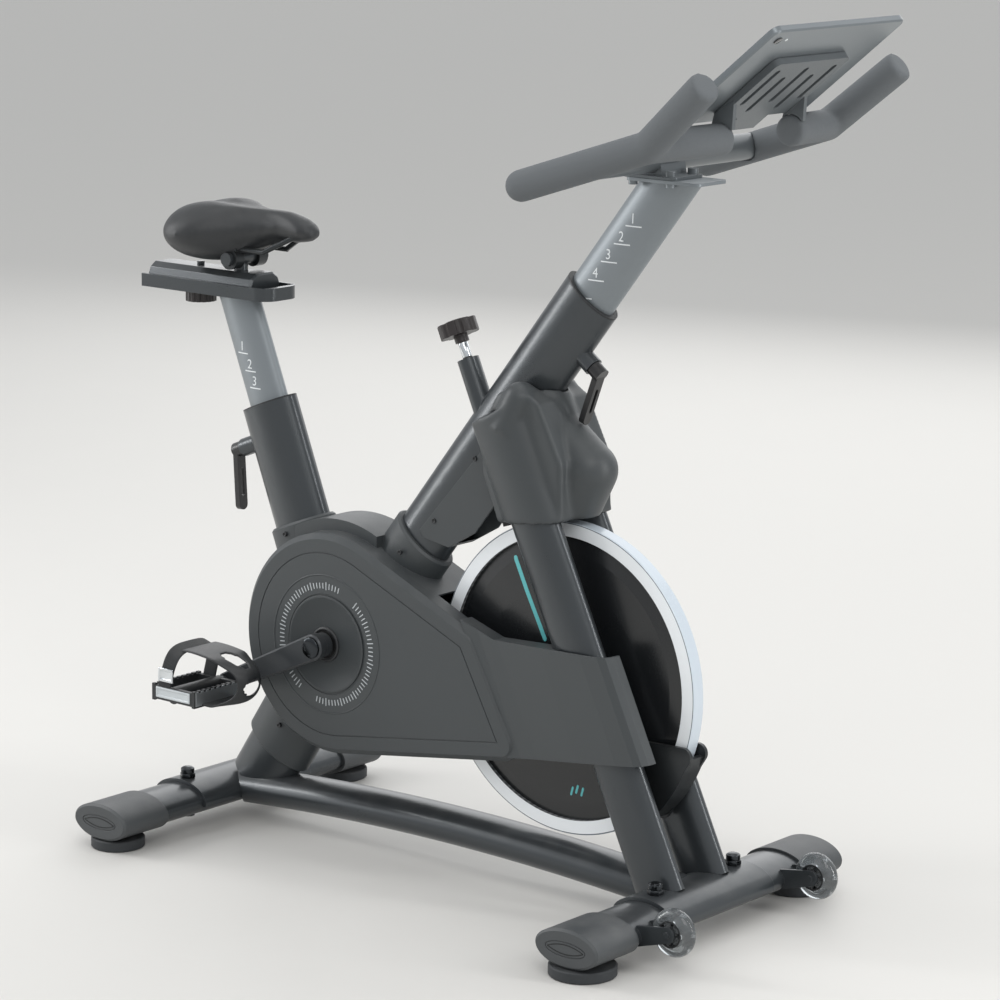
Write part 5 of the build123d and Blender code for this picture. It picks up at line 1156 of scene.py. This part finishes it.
@dataclass
class Fasteners:
    """Dark chrome cap nuts over the stabiliser bolts and the crank's end caps."""

    seat: float = 0.064
    places: tuple[tuple[float, float, str], ...] = (
        (0.361, -0.079, "front_near"), (0.361, 0.079, "front_far"),
        (-0.410, -0.088, "rear_near"), (-0.410, 0.088, "rear_far"))

    def nut(self, x: float, y: float, name: str) -> None:
        """A hexagon nut with a domed cap."""
        nut = Bench.drum(f"cap_nut_{name}", Vector((x, y, self.seat + 0.0030)), 0.0104, 0.0060, (0, 0, 0), 6)
        Bench.soften(nut, 0.0005)
        dome = Bench.drum(f"dome_{name}", Vector((x, y, self.seat + 0.0095)), 0.0090, 0.0070, (0, 0, 0), 40)
        with Bench.editing(dome, lambda f: f.normal.z > 0.9):
            for out, up in ((0.0008, 0.0), (0.0012, 0.0010), (0.0018, 0.0007), (0.0024, 0.0004)):
                bpy.ops.mesh.inset(thickness=out, depth=up)
        Bench.soften(dome, 0.0012, 3, 50.0)
        Bench.done(Bench.join([nut, dome], f"cap_nut_{name}"), "frame", Finishes.dark_chrome, 50.0)

    def crank_cap(self, side: int, label: str) -> None:
        """The domed cap on the crank's boss."""
        cap = Bench.drum(f"crank_cap_{label}", Vector((-0.187, side * 0.0905, 0.278)), 0.0137, 0.0040, (90, 0, 0), 48)
        with Bench.editing(cap, lambda f: f.normal.y * side > 0.9):
            for out, up in ((0.0015, 0.0006), (0.0025, 0.0006), (0.0035, 0.0003)):
                bpy.ops.mesh.inset(thickness=out, depth=up)
        Bench.soften(cap, 0.0008, 3, 50.0)
        Bench.done(cap, "crank_set", Finishes.dark_chrome, 50.0)

    def build(self) -> None:
        """Makes them all."""
        for x, y, name in self.places:
            self.nut(x, y, name)
        for side, label in ((-1, "near"), (1, "far")):
            self.crank_cap(side, label)


@dataclass
class BrakeTrim:
    """Bright rod sleeve and collar between the brake tube and its knob."""

    centre: tuple[float, float] = (0.164, 0.2827)
    way: tuple[float, float] = (-0.4067, 0.9135)

    def build(self) -> None:
        """Makes the sleeve and the plain plate on the knob."""
        tilt = math.degrees(math.atan2(self.way[0], self.way[1]))
        for name, low, high, radius, finish in (("brake_sleeve", 0.417, 0.4365, 0.00615, Finishes.chrome),
                                                ("brake_knob_plate", 0.4632, 0.4652, 0.0150, Finishes.knob_plastic)):
            reach = (low + high) / 2
            place = Vector((self.centre[0] + self.way[0] * reach, 0, self.centre[1] + self.way[1] * reach))
            sleeve = Bench.drum(name, place, radius, high - low, (0, tilt, 0), 48)
            Bench.soften(sleeve, 0.0006, 3)
            Bench.done(sleeve, "brake_control", finish)


@dataclass
class Display:
    """Screen glass and back fittings of the display."""

    top: tuple[float, float] = (0.5425, 1.1036)
    tilt: float = 39.0
    width: float = 0.257
    height: float = 0.182
    thickness: float = 0.008

    def plate(self, name: str, middle: tuple[float, float], size: tuple[float, float], lift: float, depth: float,
              corner: float, finish: Finish) -> None:
        """A rounded plate parallel to the display.

        Args:
            name: The piece's name.
            middle: Distance across from the centre line and down from the top edge.
            size: Width across and height down the slope.
            lift: Height of the plate's middle over the display's back face.
            depth: Plate thickness.
            corner: Corner radius.
            finish: Its finish.
        """
        plate = Bench.block(name, Vector((0, 0, 0)), (size[0], size[1], depth))
        Bench.take(plate)
        with Bench.editing(plate):
            bpy.ops.mesh.select_all(action="DESELECT")
            work = bmesh.from_edit_mesh(plate.data)
            for edge in work.edges:
                a, b = edge.verts
                edge.select_set(abs(a.co.z - b.co.z) > depth / 2)
            bmesh.update_edit_mesh(plate.data)
            bpy.ops.mesh.select_mode(type="EDGE")
            bpy.ops.mesh.bevel(offset=corner, segments=8)
        Bench.soften(plate, min(0.0003, depth / 4))
        t = math.radians(self.tilt)
        down, normal = Vector((-math.cos(t), 0, -math.sin(t))), Vector((-math.sin(t), 0, math.cos(t)))
        across = Vector((0, -1, 0))
        place = Vector((self.top[0], 0, self.top[1])) + across * middle[0] + down * middle[1] + normal * lift
        turn = Matrix((across, down * -1, normal)).transposed().to_4x4()
        plate.data.transform(Matrix.Translation(place) @ turn)
        if turn.determinant() < 0:
            plate.data.flip_normals()
        Bench.done(plate, "display", finish)

    def build(self) -> None:
        """Makes the glass, the lens and the buttons."""
        face = self.thickness
        self.plate("screen_glass", (0.0, self.height / 2), (0.248, 0.173), face + 0.0001, 0.0008, 0.008,
                   Finishes.screen)
        self.plate("display_lens", (0.108, 0.018), (0.011, 0.011), -0.0003, 0.0016, 0.0050, Finishes.screen)
        self.plate("display_light", (0.092, 0.018), (0.004, 0.004), -0.0001, 0.0008, 0.0018, Finishes.marking)
        self.plate("display_button", (0.060, 0.0012), (0.022, 0.0018), 0.0042, 0.0022, 0.0008, Finishes.tablet_shell)


@dataclass
class CapEmblem:
    """Two thin crossing arcs, like a lens, on the end face of each stabiliser cap."""

    half: float = 0.0265
    rise: float = 0.0058
    level: float = 0.038

    def arc(self, name: str, node: str, x: float, side: int, bulge: float) -> bpy.types.Object:
        """One arc laid on a cap's end face.

        Args:
            name: The piece's name.
            node: The cap's CAD node.
            x: The cap's place along X.
            side: -1 for the near end, 1 for the far one.
            bulge: Height of the arc's middle over its ends.

        Returns:
            The arc.
        """
        def point(u: float, v: float) -> Vector:
            """The arc's ribbon before it is laid on."""
            across = 2 * u - 1
            height = self.level + bulge * (1 - across * across) + (v - 0.5) * 0.0011
            return Vector((x + across * self.half, 0, height))

        ribbon = Bench.sheet_grid(name, 36, 2, point)
        Bench.lay_on(ribbon, node, side, 0.0005)
        return ribbon

    def build(self) -> None:
        """Puts the arcs on all four caps."""
        for row, x in (("front", 0.361), ("rear", -0.410)):
            for side, label in ((-1, "near"), (1, "far")):
                node = f"cap_{row}_{label}"
                arcs = [self.arc(f"arc_{row}_{label}_{index}", node, x, side, bulge)
                        for index, bulge in enumerate((self.rise, -self.rise))]
                Bench.done(Bench.join(arcs, f"cap_lens_{row}_{label}"), "frame",
                           replace(Finishes.hole, name="cap_line", slot="cap_plastic", colour=paint("1d1f20")))


def main() -> None:
    """Builds the studio, the finishes and every piece in order."""
    logging.basicConfig(level=logging.INFO, format="%(name)s: %(message)s")
    Studio().build()
    FrameDressing().dress()
    near, far = Pedal(-1, -0.34107, 0.20616), Pedal(1, -0.03293, 0.34984)
    for assembly in (Saddle(), Grips(), Shroud(), CoverDecor(), FlywheelTrim(), PostMarks(), near, far,
                     TransportWheels(), Fasteners(), BrakeTrim(), Display(), CapEmblem()):
        assembly.build()
        LOG.info("%s built", type(assembly).__name__)


if __name__ == "__main__":
    main()
